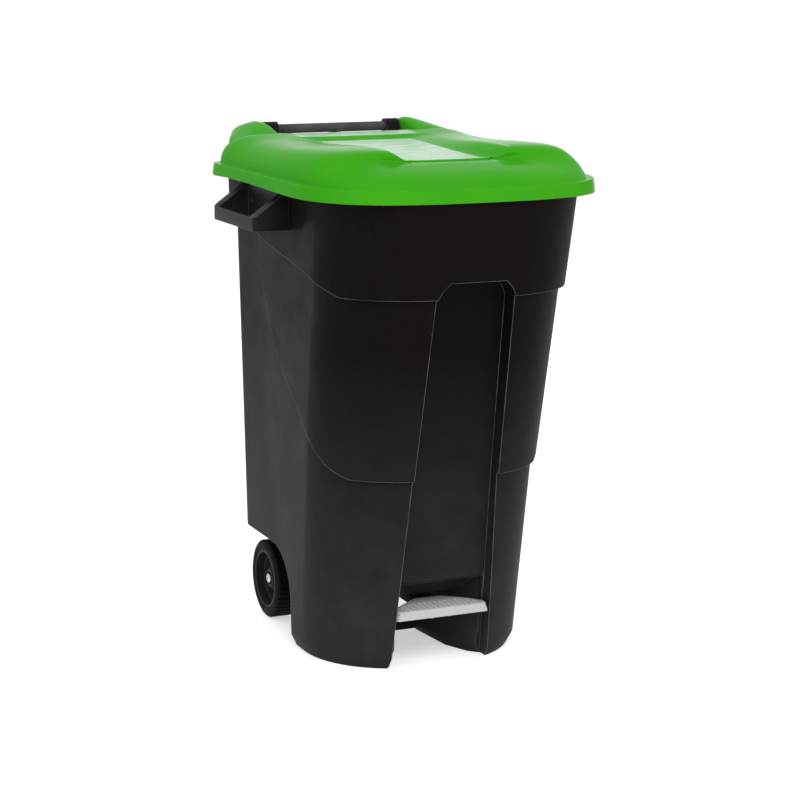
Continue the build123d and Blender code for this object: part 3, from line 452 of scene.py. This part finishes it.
def move_into(mesh, fresh):
    """Adds a finished bmesh to another one and frees it."""
    data = bpy.data.meshes.new("part")
    fresh.to_mesh(data)
    fresh.free()
    mesh.from_mesh(data)
    bpy.data.meshes.remove(data)


def fresh_verts(made):
    """The vertices among what an operator made."""
    return [item for item in made["geom"] if isinstance(item, bmesh.types.BMVert)]


def fresh_face(made):
    """The first face among what an operator made."""
    return next(item for item in made["geom"] if isinstance(item, bmesh.types.BMFace))


def soften(node, body, finish, width):
    """A copy of a construction piece with its moulded edges rounded."""
    mesh = merged(node)
    bmesh.ops.dissolve_limit(mesh, angle_limit=math.radians(0.6), verts=mesh.verts, edges=mesh.edges)
    sharp = [e for e in mesh.edges if e.is_manifold and e.calc_face_angle(0) > math.radians(MOULDED_EDGE)]
    bmesh.ops.bevel(mesh, geom=sharp, offset=width, offset_type="OFFSET", segments=3, profile=0.5,
                    affect="EDGES", clamp_overlap=True, material=-1)
    finish_piece(mesh, node + "_moulding", body, finish, [node], 40.0)


def islands(node):
    """The lowest and highest corner of each separate solid in a construction node."""
    mesh = merged(node)
    left, found = set(mesh.verts), []
    while left:
        group, queue = [], [left.pop()]
        while queue:
            vert = queue.pop()
            group.append(vert.co.copy())
            for edge in vert.link_edges:
                other = edge.other_vert(vert)
                if other in left:
                    left.remove(other)
                    queue.append(other)
        found.append((Vector(map(min, *group)), Vector(map(max, *group))))
    mesh.free()
    return found


# ---- lid
def lid_ring(sizes, place):
    """Point and outward normal on the lid's edge: 0 is the middle of the front, 1 the middle of the back."""
    half, corner, heel = LID_HIGH.x, sizes.front_corner, sizes.rear_corner
    front, rear = LID_LOW.y, HINGE.y - 31 * MM
    bow = half ** 2 / (2 * sizes.bow) + sizes.bow / 2
    centre = Vector((0, front + bow))
    corner_x = half - corner
    corner_y = centre.y - math.sqrt((bow - corner) ** 2 - corner_x ** 2)
    turn = math.asin(corner_x / (bow - corner))
    runs = [bow * turn, corner * (math.pi / 2 - turn), rear - heel - corner_y, heel * math.pi / 2,
            half - heel]
    walked = place * sum(runs)
    for index, run in enumerate(runs):
        if walked <= run or index == 4:
            break
        walked -= run
    if index == 0:
        angle = walked / bow
        normal = Vector((math.sin(angle), -math.cos(angle)))
        return centre + normal * bow, normal
    if index == 1:
        angle = turn + walked / corner
        normal = Vector((math.sin(angle), -math.cos(angle)))
        return Vector((corner_x, corner_y)) + normal * corner, normal
    if index == 2:
        return Vector((half, corner_y + walked)), Vector((1, 0))
    if index == 3:
        angle = walked / heel
        normal = Vector((math.cos(angle), math.sin(angle)))
        return Vector((half - heel, rear - heel)) + normal * heel, normal
    return Vector((half - heel - walked, rear)), Vector((0, 1))


def smooth_step(low, high, value):
    """Rises smoothly from 0 at low to 1 at high."""
    t = min(max((value - low) / (high - low), 0), 1)
    return t * t * (3 - 2 * t)


def blend(first, second, amount):
    """The mix of two values."""
    return first + (second - first) * amount


def column_x(share, column):
    """How far out each grid line runs: close pairs of lines keep the valley's flanks crisp.

    Share is how far back the line is, from the lid's front, 0, to its hinge, 1.
    """
    foot, rear = blend(77, 90, smooth_step(0.15, 0.9, share)) * MM, smooth_step(0.3, 0.9, share)
    outer = [blend(22, 36, rear) * MM, blend(31, 60, rear) * MM]
    return [0, foot * 0.5, foot - 8 * MM, foot - 2 * MM, foot + outer[0], foot + outer[1]][column]


def how_far_back(y):
    """A share of the lid's depth: 0 at its front edge and 1 at its hinge."""
    return (y - LID_LOW.y) / (HINGE.y - LID_LOW.y)


def lid_height(sizes, y, column, shoulder):
    """Height over the ledge on a grid line: two shoulders, as high as the side there, and a sunken middle."""
    share = how_far_back(y)
    floor = sizes.crown - sizes.valley + blend(1.5, 7, smooth_step(0.25, 0.74, share)) * MM
    low = floor + 8 * MM * smooth_step(0.755, 0.795, share)
    crest = shoulder + 1 * MM * smooth_step(0.3, 0.5, share)
    near = crest - 1.5 * MM * smooth_step(0.25, 0.7, share)
    return [low, low, low, low + 0.6 * MM, max(near, low + 0.4 * MM), max(crest, low + 0.4 * MM)][column]


# Each loop in from the lid's edge: inset and height over the ledge, in millimetres, at the side, the front
# and the back.
LID_LOOPS = [((15, 0), (12, 0), (12, 0)),
             ((16, 5), (17, 4), (12.5, 8)),
             ((18.5, 16), (30, 11), (13, 22)),
             ((26, 29), (60, 20.5), (15, 35)),
             ((42, 43), (98, 26), (20, 42)),
             ((64, 51), (138, 30.8), (31, 44.5))]
# How far round the lid's edge each cross line of the crown starts, as lid_ring counts it.
CROWN_ROWS = [0.215, 0.224, 0.25, 0.285, 0.33, 0.38, 0.44, 0.5, 0.56, 0.61, 0.64, 0.653, 0.668, 0.682,
              0.7, 0.735, 0.77]


def lid_shell(sizes):
    """The lid's skin: a grid for the crown, then loops pulled out and down to the skirt's lower edge."""
    rows = CROWN_ROWS
    across, along = 12, len(rows) - 1
    mesh = bmesh.new()
    bmesh.ops.create_grid(mesh, x_segments=across, y_segments=along, size=1)
    mesh.verts.ensure_lookup_table()
    order = sorted(mesh.verts, key=lambda v: (round(v.co.y, 4), round(v.co.x, 4)))
    grid = [order[j * (across + 1):(j + 1) * (across + 1)] for j in range(along + 1)]
    middle = across // 2
    ledge = LID_LOW.z + sizes.skirt

    def at(place, side, loop):
        point, normal = lid_ring(sizes, place)
        front, rear = smooth_step(0.1, 0.95, -normal.y), smooth_step(0.2, 0.9, normal.y)
        (inset, height), (inset_f, height_f), (inset_r, height_r) = loop
        share = how_far_back(point.y)
        height *= 1 - 0.16 * smooth_step(0.3, 0.62, share) + 0.13 * smooth_step(0.72, 0.9, share)
        height_r *= 1 - 0.4 * smooth_step(118 * MM, 160 * MM, point.x)
        inset = blend(blend(inset, inset_f, front), inset_r, rear) * MM
        height = blend(blend(height, height_f, front), height_r, rear) * MM
        flat = point - normal * inset
        return Vector((side * flat.x, flat.y, ledge + height))

    def meet(share, column, low, high):
        """Where on the inner loop a grid line starts or ends."""
        if column == 6:
            return low if share == 0 else high
        spots = [low + (high - low) * step / 400 for step in range(401)]
        return min(spots, key=lambda spot: abs(at(spot, 1, inner).x - column_x(share, column)))

    inner = LID_LOOPS[-1]
    columns = [meet(0, column, 0, rows[0]) if column < 6 else rows[0] for column in range(7)]
    back = [meet(1, column, rows[-1], 1) if column < 6 else rows[-1] for column in range(7)]
    columns[0], back[0] = 0, 1
    border = {}
    for i in range(across + 1):
        side = 1 if i >= middle else -1
        border[(i, 0)] = (columns[abs(i - middle)], side)
        border[(i, along)] = (back[abs(i - middle)], side)
    for j in range(along + 1):
        border[(0, j)], border[(across, j)] = (rows[j], -1), (rows[j], 1)
    ring = {key: at(place, side, inner) for key, (place, side) in border.items()}
    for j in range(along + 1):
        v = (rows[j] - rows[0]) / (rows[-1] - rows[0])
        for i in range(across + 1):
            u = i / across
            if (i, j) in ring:
                spot = ring[(i, j)]
            else:
                ends = blend(ring[(0, j)], ring[(across, j)], u)
                sides = blend(ring[(i, 0)], ring[(i, along)], v)
                corners = blend(blend(ring[(0, 0)], ring[(across, 0)], u),
                                blend(ring[(0, along)], ring[(across, along)], u), v)
                spot = ends + sides - corners
                column = abs(i - middle)
                spot.x = math.copysign(column_x(how_far_back(spot.y), column), i - middle) if column else 0
                spot.z = ledge + lid_height(sizes, spot.y, column, ring[(across, j)].z - ledge)
            grid[j][i].co = spot
    edge = {grid[j][i]: value for (i, j), value in border.items()}
    skirt = sizes.skirt / MM
    ledge_loop = ((14, -0.2), (11, -0.2), (11, -0.2))
    skirt_loops = [((inset, height),) * 3 for inset, height in
                   ((5, 0), (3, -0.4), (2.1, -2), (0.2, 1.5 - skirt), (0, -skirt))]
    for loop in LID_LOOPS[-2::-1] + [ledge_loop] + skirt_loops:
        open_edges = [e for e in mesh.edges if e.is_boundary]
        fresh = fresh_verts(bmesh.ops.extrude_edge_only(mesh, edges=open_edges))
        old = {tuple(round(c, 7) for c in v.co): value for v, value in edge.items()}
        edge = {v: old[tuple(round(c, 7) for c in v.co)] for v in fresh}
        for vert, (place, side) in edge.items():
            vert.co = at(place, side, loop)
    bmesh.ops.recalc_face_normals(mesh, faces=mesh.faces)
    if sum(f.normal.z * f.calc_area() for f in mesh.faces) < 0:
        bmesh.ops.reverse_faces(mesh, faces=mesh.faces)
    return mesh


# Cross-sections of a hinge ear: distance ahead of the hinge, then width and height of its outer corner,
# its shoulder, its crest and its inner corner, with its lower edge, all in millimetres over the ledge.
EAR_SECTIONS = [(150, 214, 32, 196, 37, 160, 37, 31), (110, 216, 31, 194, 43, 157, 45, 30),
                (80, 216, 31, 191, 48, 155, 54, 27), (52, 213, 31, 187, 51, 153, 60.5, 8),
                (30, 206, 32, 183, 53.5, 152, 63.5, 2), (12, 197, 35, 181, 55, 151, 64.2, 16),
                (0, 191, 37, 180, 55.5, 150, 64, 24)]
EAR_INNER = 131.4       # inner side of an ear, just clear of the bar's bracket, in millimetres
EAR_RADIUS = 17         # how far an ear runs round behind the hinge, in millimetres


def ear(mesh, side, sizes):
    """A hinge ear: a hump that grows out of the lid's corner and runs back over the hinge."""
    inner = EAR_INNER
    hinge = (HINGE.z - LID_LOW.z - sizes.skirt) / MM
    rings = []
    for ahead, corner, rise, shoulder, top, crest, height, low in EAR_SECTIONS:
        rings.append((-ahead, [(inner, low), (inner, height - 9), (inner + 3, height - 3),
                               (inner + 12, height), (crest, height - 0.5), (shoulder, top),
                               (corner - 3, (top + rise) / 2), (corner, rise), (corner + 1, low)]))
    last = rings[-1][1]
    for angle in (65, 40, 18):
        back, squeeze = EAR_RADIUS * math.cos(math.radians(angle)), math.sin(math.radians(angle))
        narrow = 1 - 0.3 * (1 - squeeze)
        rings.append((back, [(inner + (x - inner) * narrow, hinge + (z - hinge) * squeeze) for x, z in last]))
    face = None
    for back, section in rings:
        points = [Vector((side * x * MM, HINGE.y + back * MM, LID_LOW.z + sizes.skirt + z * MM))
                  for x, z in section]
        if face is None:
            face = polygon(mesh, points)
            order = points
            continue
        face = fresh_face(bmesh.ops.extrude_face_region(mesh, geom=[face]))
        for vert in face.verts:
            vert.co = points[min(range(len(order)), key=lambda k: (order[k] - vert.co).length)]
        order = points


class BuildLid(bpy.types.Operator):
    """Builds the green lid: its shell, its hinge ears and the lugs that hold the link pin"""
    bl_idname = "pedal_bin.lid"
    bl_label = "Lid"

    def execute(self, context):
        sizes = context.scene.pedal_bin_lid
        shell = finish_piece(lid_shell(sizes), "lid_shell", "lid_body", "lid", ["lid"], 180)
        add_modifier(shell, "SUBSURF", levels=2, render_levels=2)
        add_modifier(shell, "SOLIDIFY", thickness=sizes.wall, offset=-1.0)
        mesh = bmesh.new()
        for side in (1, -1):
            ear(mesh, side, sizes)
        ears = finish_piece(mesh, "lid_hinge_ears", "lid_body", "lid", smooth=60)
        add_modifier(ears, "SUBSURF", levels=2, render_levels=2)
        mesh = bmesh.new()
        pin_low, pin_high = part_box("lid_link_pin")
        pin = (pin_low + pin_high) / 2
        ledge = LID_LOW.z + sizes.skirt
        for side in (1, -1):
            x = side * 6 * MM
            outline = [(x, HINGE.y - 45 * MM, ledge + 2 * MM), (x, HINGE.y - 45 * MM, ledge + 26 * MM),
                       (x, pin.y, pin.z + 8 * MM), (x, pin.y + 7 * MM, pin.z + 3 * MM),
                       (x, pin.y + 7 * MM, pin.z - 5 * MM), (x, HINGE.y - 31 * MM, ledge - 4 * MM)]
            pull(mesh, polygon(mesh, outline), (side * 6 * MM, 0, 0))
        bmesh.ops.bevel(mesh, geom=mesh.edges[:], offset=1.0 * MM, segments=2, profile=0.5, affect="EDGES",
                        material=-1)
        finish_piece(mesh, "lid_link_lugs", "lid_body", "lid")
        return {"FINISHED"}


# ---- body and fixed pieces
# Construction pieces that get rounded edges: the pieces, their body, slot and finish, and the radius in
# millimetres.
SOFTENED = [(["body_shell"], "bin", "body_plastic", "body", 1.6),
            (["side_handle_right", "side_handle_left", "hinge_bracket_right", "hinge_bracket_left"],
             "bin", "handle_plastic", "grips", 1.2),
            (["rear_handle_bar"], "bin", "handle_plastic", "bar", 1.0),
            (["rod_guide_upper", "rod_guide_lower"], "bin", "handle_plastic", "grips", 0.6),
            (["pivot_bracket_right", "pivot_bracket_left"], "bin", "galvanised_steel", "galvanised", 0.5),
            (["pedal_lever"], "pedal_body", "galvanised_steel", "galvanised", 0.8),
            (["lift_rod_yoke"], "lift_rod_body", "handle_plastic", "grips", 0.6)]
# Construction pieces that stay as they are, with their finishes.
KEPT = {"lid_link_pin": "zinc", "lid_buffers": "tyre", "lid_hinge_pins": "zinc",
        "axle": "zinc", "axle_washers": "zinc", "pivot_pin": "zinc", "pivot_clip": "zinc",
        "lift_rod": "galvanised", "lift_rod_foot": "grips"}


class BuildBody(bpy.types.Operator):
    """Rounds the moulded edges of the body, handles and brackets, and finishes the plain pieces"""
    bl_idname = "pedal_bin.body"
    bl_label = "Body and handles"

    def execute(self, context):
        for nodes, body, slot, finish, width in SOFTENED:
            for node in nodes:
                soften(node, body, finish, width * MM)
        for node, finish in KEPT.items():
            for slot in NODES[node].material_slots:
                slot.material = material(finish)
        return {"FINISHED"}


# ---- screws
def screw(mesh, seat, axis, radius, shank, reach):
    """A pan-head screw with a cross recess; axis points out of the head and seat is the head's underside."""
    fresh = bmesh.new()
    height = 0.6 * radius
    rim = bmesh.ops.create_circle(fresh, segments=24, radius=radius, cap_ends=False)["verts"]
    for rise, share in ((0.45, 1.0), (0.8, 0.86), (1.0, 0.62)):
        loop = [e for e in fresh.edges if all(v in rim for v in e.verts)]
        rim = fresh_verts(bmesh.ops.extrude_edge_only(fresh, edges=loop))
        for v in rim:
            flat = Vector((v.co.x, v.co.y, 0)).normalized() * radius * share
            v.co = Vector((flat.x, flat.y, height * rise))
    arm, half = 0.45 * radius, 0.11 * radius
    corner = [(half, arm), (half, half), (arm, half), (arm, -half), (half, -half), (half, -arm),
              (-half, -arm), (-half, -half), (-arm, -half), (-arm, half), (-half, half), (-half, arm)]
    cross = polygon(fresh, [(x, y, height) for x, y in corner])
    top = [e for e in fresh.edges if all(v in rim for v in e.verts)]
    bmesh.ops.bridge_loops(fresh, edges=top + list(cross.edges))
    floor = pull(fresh, cross, (0, 0, -0.55 * height))
    bmesh.ops.scale(fresh, vec=(0.7, 0.7, 1), verts=floor.verts)
    foot = [e for e in fresh.edges if e.is_boundary and max(v.co.z for v in e.verts) < height / 4]
    for depth in (0, -reach):
        made = bmesh.ops.extrude_edge_only(fresh, edges=foot)
        for v in fresh_verts(made):
            flat = Vector((v.co.x, v.co.y, 0)).normalized() * shank
            v.co = Vector((flat.x, flat.y, depth))
        foot = [e for e in made["geom"] if isinstance(e, bmesh.types.BMEdge) and
                all(abs(v.co.z - depth) < 1e-7 and v.co.xy.length < shank * 1.01 for v in e.verts)]
    bmesh.ops.holes_fill(fresh, edges=foot)
    turn = Vector((0, 0, 1)).rotation_difference(axis).to_matrix().to_4x4()
    bmesh.ops.transform(fresh, matrix=Matrix.Translation(seat) @ turn, verts=fresh.verts)
    move_into(mesh, fresh)


class BuildScrews(bpy.types.Operator):
    """Builds every screw with its cross recess, where the construction has it"""
    bl_idname = "pedal_bin.screws"
    bl_label = "Screws"

    def execute(self, context):
        groups = [("hinge_bracket_screws", Vector((0, 1, 0)), "bin", "steel", "zinc"),
                  ("rod_guide_screws", Vector((0, 1, 0)), "bin", "steel", "zinc"),
                  ("pivot_bracket_screws", Vector((0, 0, -1)), "bin", "steel", "zinc"),
                  ("pedal_screws", Vector((0, 0, -1)), "pedal_body", "steel", "zinc"),
                  ("side_handle_screws", None, "bin", "handle_plastic", "grips")]
        for node, axis, body, slot, finish in groups:
            mesh = bmesh.new()
            for low, high in islands(node):
                centre = (low + high) / 2
                out = axis or Vector((math.copysign(1, centre.x), 0, 0))
                end = max(low.dot(out), high.dot(out))
                spread = [abs(v) for v in (high - low) * 0.5]
                radius = min(spread[i] for i in range(3) if abs(out[i]) < 0.5)
                height = 0.6 * radius
                seat = centre + out * (end - centre.dot(out) - height)
                reach = abs((high - low).dot(out)) - height - 0.2 * MM
                screw(mesh, seat, out, radius, 2.5 * MM, reach)
            finish_piece(mesh, node + "_detailed", body, finish, [node])
        return {"FINISHED"}


# ---- wheels
RIBS = 8                # stiffening ribs behind each wheel's face
HUB = Vector((0, AXLE.y, AXLE.z))


class BuildWheels(bpy.types.Operator):
    """Builds the tyres with their tread lugs, the dished wheels and the bright caps on the axle"""
    bl_idname = "pedal_bin.wheels"
    bl_label = "Wheels"

    def execute(self, context):
        sizes = context.scene.pedal_bin_wheels
        for side, hand in ((1, "right"), (-1, "left")):
            self.tyre(sizes, side, hand)
            self.wheel(sizes, side, hand)
        mesh = bmesh.new()
        for side in (1, -1):
            self.cap(mesh, sizes, side)
        finish_piece(mesh, "axle_end_caps", "bin", "zinc", ["axle_caps"], 50)
        return {"FINISHED"}

    def tyre(self, sizes, side, hand):
        x0, x1, outer = TYRE_LOW.x / MM, TYRE_HIGH.x / MM, (TYRE_HIGH.z - AXLE.z) / MM
        inner, crown = (WHEEL_HIGH.z - AXLE.z) / MM + 0.1, outer - sizes.groove / MM
        profile = [(x0 + 1, inner), (x0, inner + 2), (x0, outer - 8), (x0 + 1.6, outer - 4.5),
                   (x0 + 5, crown), (x0 + 12, crown), (x0 + 13, crown), (x1 - 13, crown), (x1 - 12, crown),
                   (x1 - 5, crown), (x1 - 1.6, outer - 4.5), (x1, outer - 8), (x1, inner + 2),
                   (x1 - 1, inner), (x0 + 1, inner)]
        mesh = bmesh.new()
        lathe(mesh, profile, HUB, 3 * sizes.lugs)
        lugs = []
        for face in mesh.faces:
            centre = (face.calc_center_median() - AXLE) / MM
            angle = math.atan2(centre.z, centre.y) % math.tau
            step = int(angle / math.tau * 3 * sizes.lugs)
            band = x0 + 1.6 < centre.x < x1 - 1.6 and math.hypot(centre.y, centre.z) > outer - 5
            between = abs(centre.x - x0 - 12.5) < 0.5 or abs(centre.x - x1 + 12.5) < 0.5
            if band and step % 3 != 0 and not between:
                lugs.append(face)
        bmesh.ops.recalc_face_normals(mesh, faces=mesh.faces)
        tops = fresh_verts(bmesh.ops.extrude_face_region(mesh, geom=lugs))
        bmesh.ops.delete(mesh, geom=lugs, context="FACES_ONLY")
        for vert in tops:
            away = Vector((0, vert.co.y - AXLE.y, vert.co.z - AXLE.z))
            share = 1 if away.length > (outer - 3) * MM else 0.45
            vert.co += away.normalized() * sizes.groove * share
        if side < 0:
            bmesh.ops.scale(mesh, vec=(-1, 1, 1), verts=mesh.verts)
        name = "tyre_" + hand
        finish_piece(mesh, name + "_tread", f"wheel_{hand}_body", "tyre", [name], 32)

    def wheel(self, sizes, side, hand):
        x0, x1, seat = WHEEL_LOW.x / MM, WHEEL_HIGH.x / MM, (WHEEL_HIGH.z - AXLE.z) / MM
        face, bore, recess = x1 - 15, 8.1, sizes.recess / MM
        profile = [(x0, bore), (x0, 16.5), (x0 + 0.8, 17), (face - 6, 18), (face - 5, 20), (face - 6, 42),
                   (face - 8, seat - 6), (x0 + 3, seat - 4), (x0 + 1, seat - 3), (x0 + 1, seat),
                   (x1 - 1, seat), (x1, seat - 1), (x1 - 0.5, seat - 3.6), (x1 - 3, seat - 5),
                   (face + 0.5, seat - 9), (face - 1.5, seat - 12), (face - 1, 26), (face + 3, 19),
                   (face + 5.5, 16), (face + 5.5, recess + 0.8), (face + 4.8, recess), (face + 0.5, recess),
                   (face + 0.5, bore), (x0, bore)]
        mesh = bmesh.new()
        lathe(mesh, profile, HUB, 72)
        low, high, near, far = x0 + 6, face - 5.5, 16, seat - 4.5
        outline = [(low + 4, near), (low, far), (high, far), (high, near)]
        for index in range(RIBS):
            turn = Matrix.Rotation(math.tau * index / RIBS, 4, "X")
            rib = polygon(mesh, [turn @ Vector((x, 1.25, radius)) * MM + HUB for x, radius in outline])
            pull(mesh, rib, turn @ Vector((0, -2.5 * MM, 0)))
        if side < 0:
            bmesh.ops.scale(mesh, vec=(-1, 1, 1), verts=mesh.verts)
        name = "wheel_" + hand
        finish_piece(mesh, name + "_hub", f"wheel_{hand}_body", "wheel", [name], 32)

    def cap(self, mesh, sizes, side):
        start, end, radius = WHEEL_HIGH.x / MM - 13.8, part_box("axle_caps")[1].x / MM, sizes.cap / MM
        profile = [(start, 8.1), (start, radius), (end - 3, radius), (end - 1.4, radius - 0.7),
                   (end - 0.4, radius - 2.6), (end, 3.4), (end - 0.3, 2.6), (end - 2, 2.2), (end - 2.2, 0)]
        fresh = bmesh.new()
        lathe(fresh, profile, HUB, 48)
        bmesh.ops.recalc_face_normals(fresh, faces=fresh.faces)
        if side < 0:
            bmesh.ops.scale(fresh, vec=(-1, 1, 1), verts=fresh.verts)
        move_into(mesh, fresh)


# ---- pedal
class BuildPedal(bpy.types.Operator):
    """Builds the grey tread: a tray with a sloping lip and rows of non-slip lugs"""
    bl_idname = "pedal_bin.pedal"
    bl_label = "Pedal"

    def execute(self, context):
        sizes = context.scene.pedal_bin_pedal
        half, front, top, low = TREAD_HIGH.x, TREAD_LOW.y, TREAD_HIGH.z, TREAD_LOW.z
        depth = TREAD_HIGH.y - front
        slope = sizes.chamfer
        right = [(half - 4 * MM, front), (half, front + 5 * MM), (half, front + 17 * MM),
                 (half - 22 * MM, front + 42 * MM), (24 * MM, front + depth)]
        ring = right + [(-x, y) for x, y in reversed(right)]
        mesh = bmesh.new()
        foot = polygon(mesh, [(x, y, low) for x, y in ring])
        roof = pull(mesh, foot, (0, 0, top - low - 2.2 * MM))
        for v in roof.verts:
            v.co.y += slope * 0.7 if v.co.y < front + 8 * MM else 0
            v.co.x -= math.copysign(slope * 0.6, v.co.x) if v.co.y < front + 20 * MM else 0
        bmesh.ops.inset_region(mesh, faces=[roof], thickness=2.2 * MM, depth=0)
        for v in roof.verts:
            v.co.z = top - sizes.lug_height
        under = [f for f in mesh.faces if f.normal.z < -0.9 or abs(f.calc_center_median().z - low) < 1e-6]
        bmesh.ops.recalc_face_normals(mesh, faces=mesh.faces)
        bmesh.ops.inset_region(mesh, faces=under, thickness=3.2 * MM, depth=0)
        hollow = fresh_verts(bmesh.ops.extrude_face_region(mesh, geom=under))
        bmesh.ops.delete(mesh, geom=under, context="FACES_ONLY")
        for v in hollow:
            v.co.z = top - 4 * MM
        sharp = [e for e in mesh.edges if e.is_manifold and e.calc_face_angle(0) > math.radians(20)]
        bmesh.ops.bevel(mesh, geom=sharp, offset=0.9 * MM, segments=3, profile=0.5, affect="EDGES",
                        clamp_overlap=True, material=-1)
        pitch = 9.4 * MM
        for row in range(sizes.rows):
            y = front + 9.5 * MM + row * 7.6 * MM
            reach = half - 12 * MM - max(0, y - front - 18 * MM) * 0.95
            count = int(reach / pitch)
            for column in range(-count, count + 1):
                lean = math.radians(38 if (row + column) % 2 else -38)
                self.lug(mesh, Vector((column * pitch, y, top - sizes.lug_height)), lean, sizes)
        finish_piece(mesh, "pedal_tread_moulding", "pedal_body", "pedal", ["pedal_tread"],
                     smooth=38)
        return {"FINISHED"}

    def lug(self, mesh, place, lean, sizes):
        """One raised lug: a lozenge with sloping sides, set at an angle."""
        long, wide = sizes.lug_length / 2, 1.6 * MM
        ring = [(-long, 0), (-long * 0.6, -wide), (long * 0.6, -wide), (long, 0), (long * 0.6, wide),
                (-long * 0.6, wide)]
        turn = Matrix.Rotation(lean, 3, "Z")
        base = polygon(mesh, [place + turn @ Vector((x, y, -0.2 * MM)) for x, y in ring])
        crest = pull(mesh, base, (0, 0, sizes.lug_height + 0.2 * MM))
        bmesh.ops.scale(mesh, vec=(0.78, 0.78, 1), space=Matrix.Translation(-place), verts=crest.verts)


# ---- stage
FLOOR_REACH = 150       # half the floor's width, so that its edge is never in view
CLIP = (0.1, 400.0)     # the nearest and the farthest that the camera sees


def softbox(name, place, target, size, power, tone):
    """A soft lamp that doesn't show in the gloss, with its power in watts."""
    light = bpy.data.lights.new(name, "AREA")
    light.shape, light.size, light.size_y = "RECTANGLE", size[0], size[1]
    light.energy, light.color = power, linear(tone)[:3]
    lamp = bpy.data.objects.new(name, light)
    lamp.location = place
    lamp.rotation_euler = (Vector(target) - Vector(place)).to_track_quat("-Z", "Y").to_euler()
    lamp.visible_glossy = False
    bpy.context.scene.collection.objects.link(lamp)


class BuildStage(bpy.types.Operator):
    """Builds the pale floor, the soft lights and the camera"""
    bl_idname = "pedal_bin.stage"
    bl_label = "Stage"

    def execute(self, context):
        scene, sizes = context.scene, context.scene.pedal_bin_stage
        mesh = bmesh.new()
        bmesh.ops.create_grid(mesh, x_segments=8, y_segments=8, size=FLOOR_REACH)
        data = bpy.data.meshes.new("floor")
        mesh.to_mesh(data)
        mesh.free()
        floor = bpy.data.objects.new("floor", data)
        scene.collection.objects.link(floor)
        data.materials.append(floor_paint(scene.pedal_bin_colours.floor))

        low, high = Vector(CAD_BOX[0]), Vector(CAD_BOX[1])
        middle = (low + high) / 2
        softbox("key_softbox", (-0.3, -2.9, 2.9), middle, (2.2, 1.6), 62, "#FFF6EA")
        softbox("left_softbox", (-3.0, -0.9, 1.7), middle, (1.6, 2.4), 15, "#E6EEFF")
        softbox("back_softbox", (0.4, 2.8, 2.6), middle, (2.4, 1.2), 30, "#FFFFFF")

        world = bpy.data.worlds.new("pale_studio")
        scene.world = world
        world.use_nodes = True
        tree = world.node_tree
        tree.nodes.clear()
        soft = add(tree, "Background", {"Color": WHITE, "Strength": SKY_LIGHT})
        white = add(tree, "Background", {"Color": WHITE, "Strength": 1.0})
        add(tree, "OutputWorld", {0: add(tree, "MixShader", {0: seen_ray(tree), 1: soft, 2: white})})
        scene.view_settings.view_transform = "Standard"

        camera = bpy.data.cameras.new("camera")
        camera.lens, camera.sensor_width = sizes.lens, 36.0
        camera.clip_start, camera.clip_end = CLIP
        viewer = bpy.data.objects.new("camera", camera)
        back = Vector((math.sin(sizes.azimuth) * math.cos(sizes.elevation),
                       -math.cos(sizes.azimuth) * math.cos(sizes.elevation), math.sin(sizes.elevation)))
        viewer.location = CAMERA_TARGET + back * sizes.distance
        viewer.rotation_euler = (-back).to_track_quat("-Z", "Y").to_euler()
        scene.collection.objects.link(viewer)
        scene.camera = viewer
        return {"FINISHED"}


class PedalBinPanel(bpy.types.Panel):
    """Lists the pieces in the 3D view's sidebar"""
    bl_idname = "VIEW3D_PT_pedal_bin"
    bl_label = "Pedal bin"
    bl_space_type = "VIEW_3D"
    bl_region_type = "UI"
    bl_category = "Pedal bin"

    def draw(self, context):
        for operator in OPERATORS:
            self.layout.operator(operator.bl_idname)
        for group in SETTINGS:
            for name in SETTINGS[group].__annotations__:
                self.layout.prop(getattr(context.scene, group), name)


SETTINGS = {"pedal_bin_lid": LidSizes, "pedal_bin_wheels": WheelSizes, "pedal_bin_pedal": PedalSizes,
            "pedal_bin_colours": FinishColours, "pedal_bin_stage": StageSizes}
OPERATORS = [BuildStage, BuildBody, BuildLid, BuildScrews, BuildWheels, BuildPedal]


def register():
    for item in [*SETTINGS.values(), *OPERATORS, PedalBinPanel]:
        bpy.utils.register_class(item)
    for name, group in SETTINGS.items():
        setattr(bpy.types.Scene, name, bpy.props.PointerProperty(type=group))


def unregister():
    for name in SETTINGS:
        delattr(bpy.types.Scene, name)
    for item in reversed([*SETTINGS.values(), *OPERATORS, PedalBinPanel]):
        bpy.utils.unregister_class(item)


def main():
    register()
    for operator in OPERATORS:
        group, name = operator.bl_idname.split(".")
        getattr(getattr(bpy.ops, group), name)()


if __name__ == "__main__":
    main()
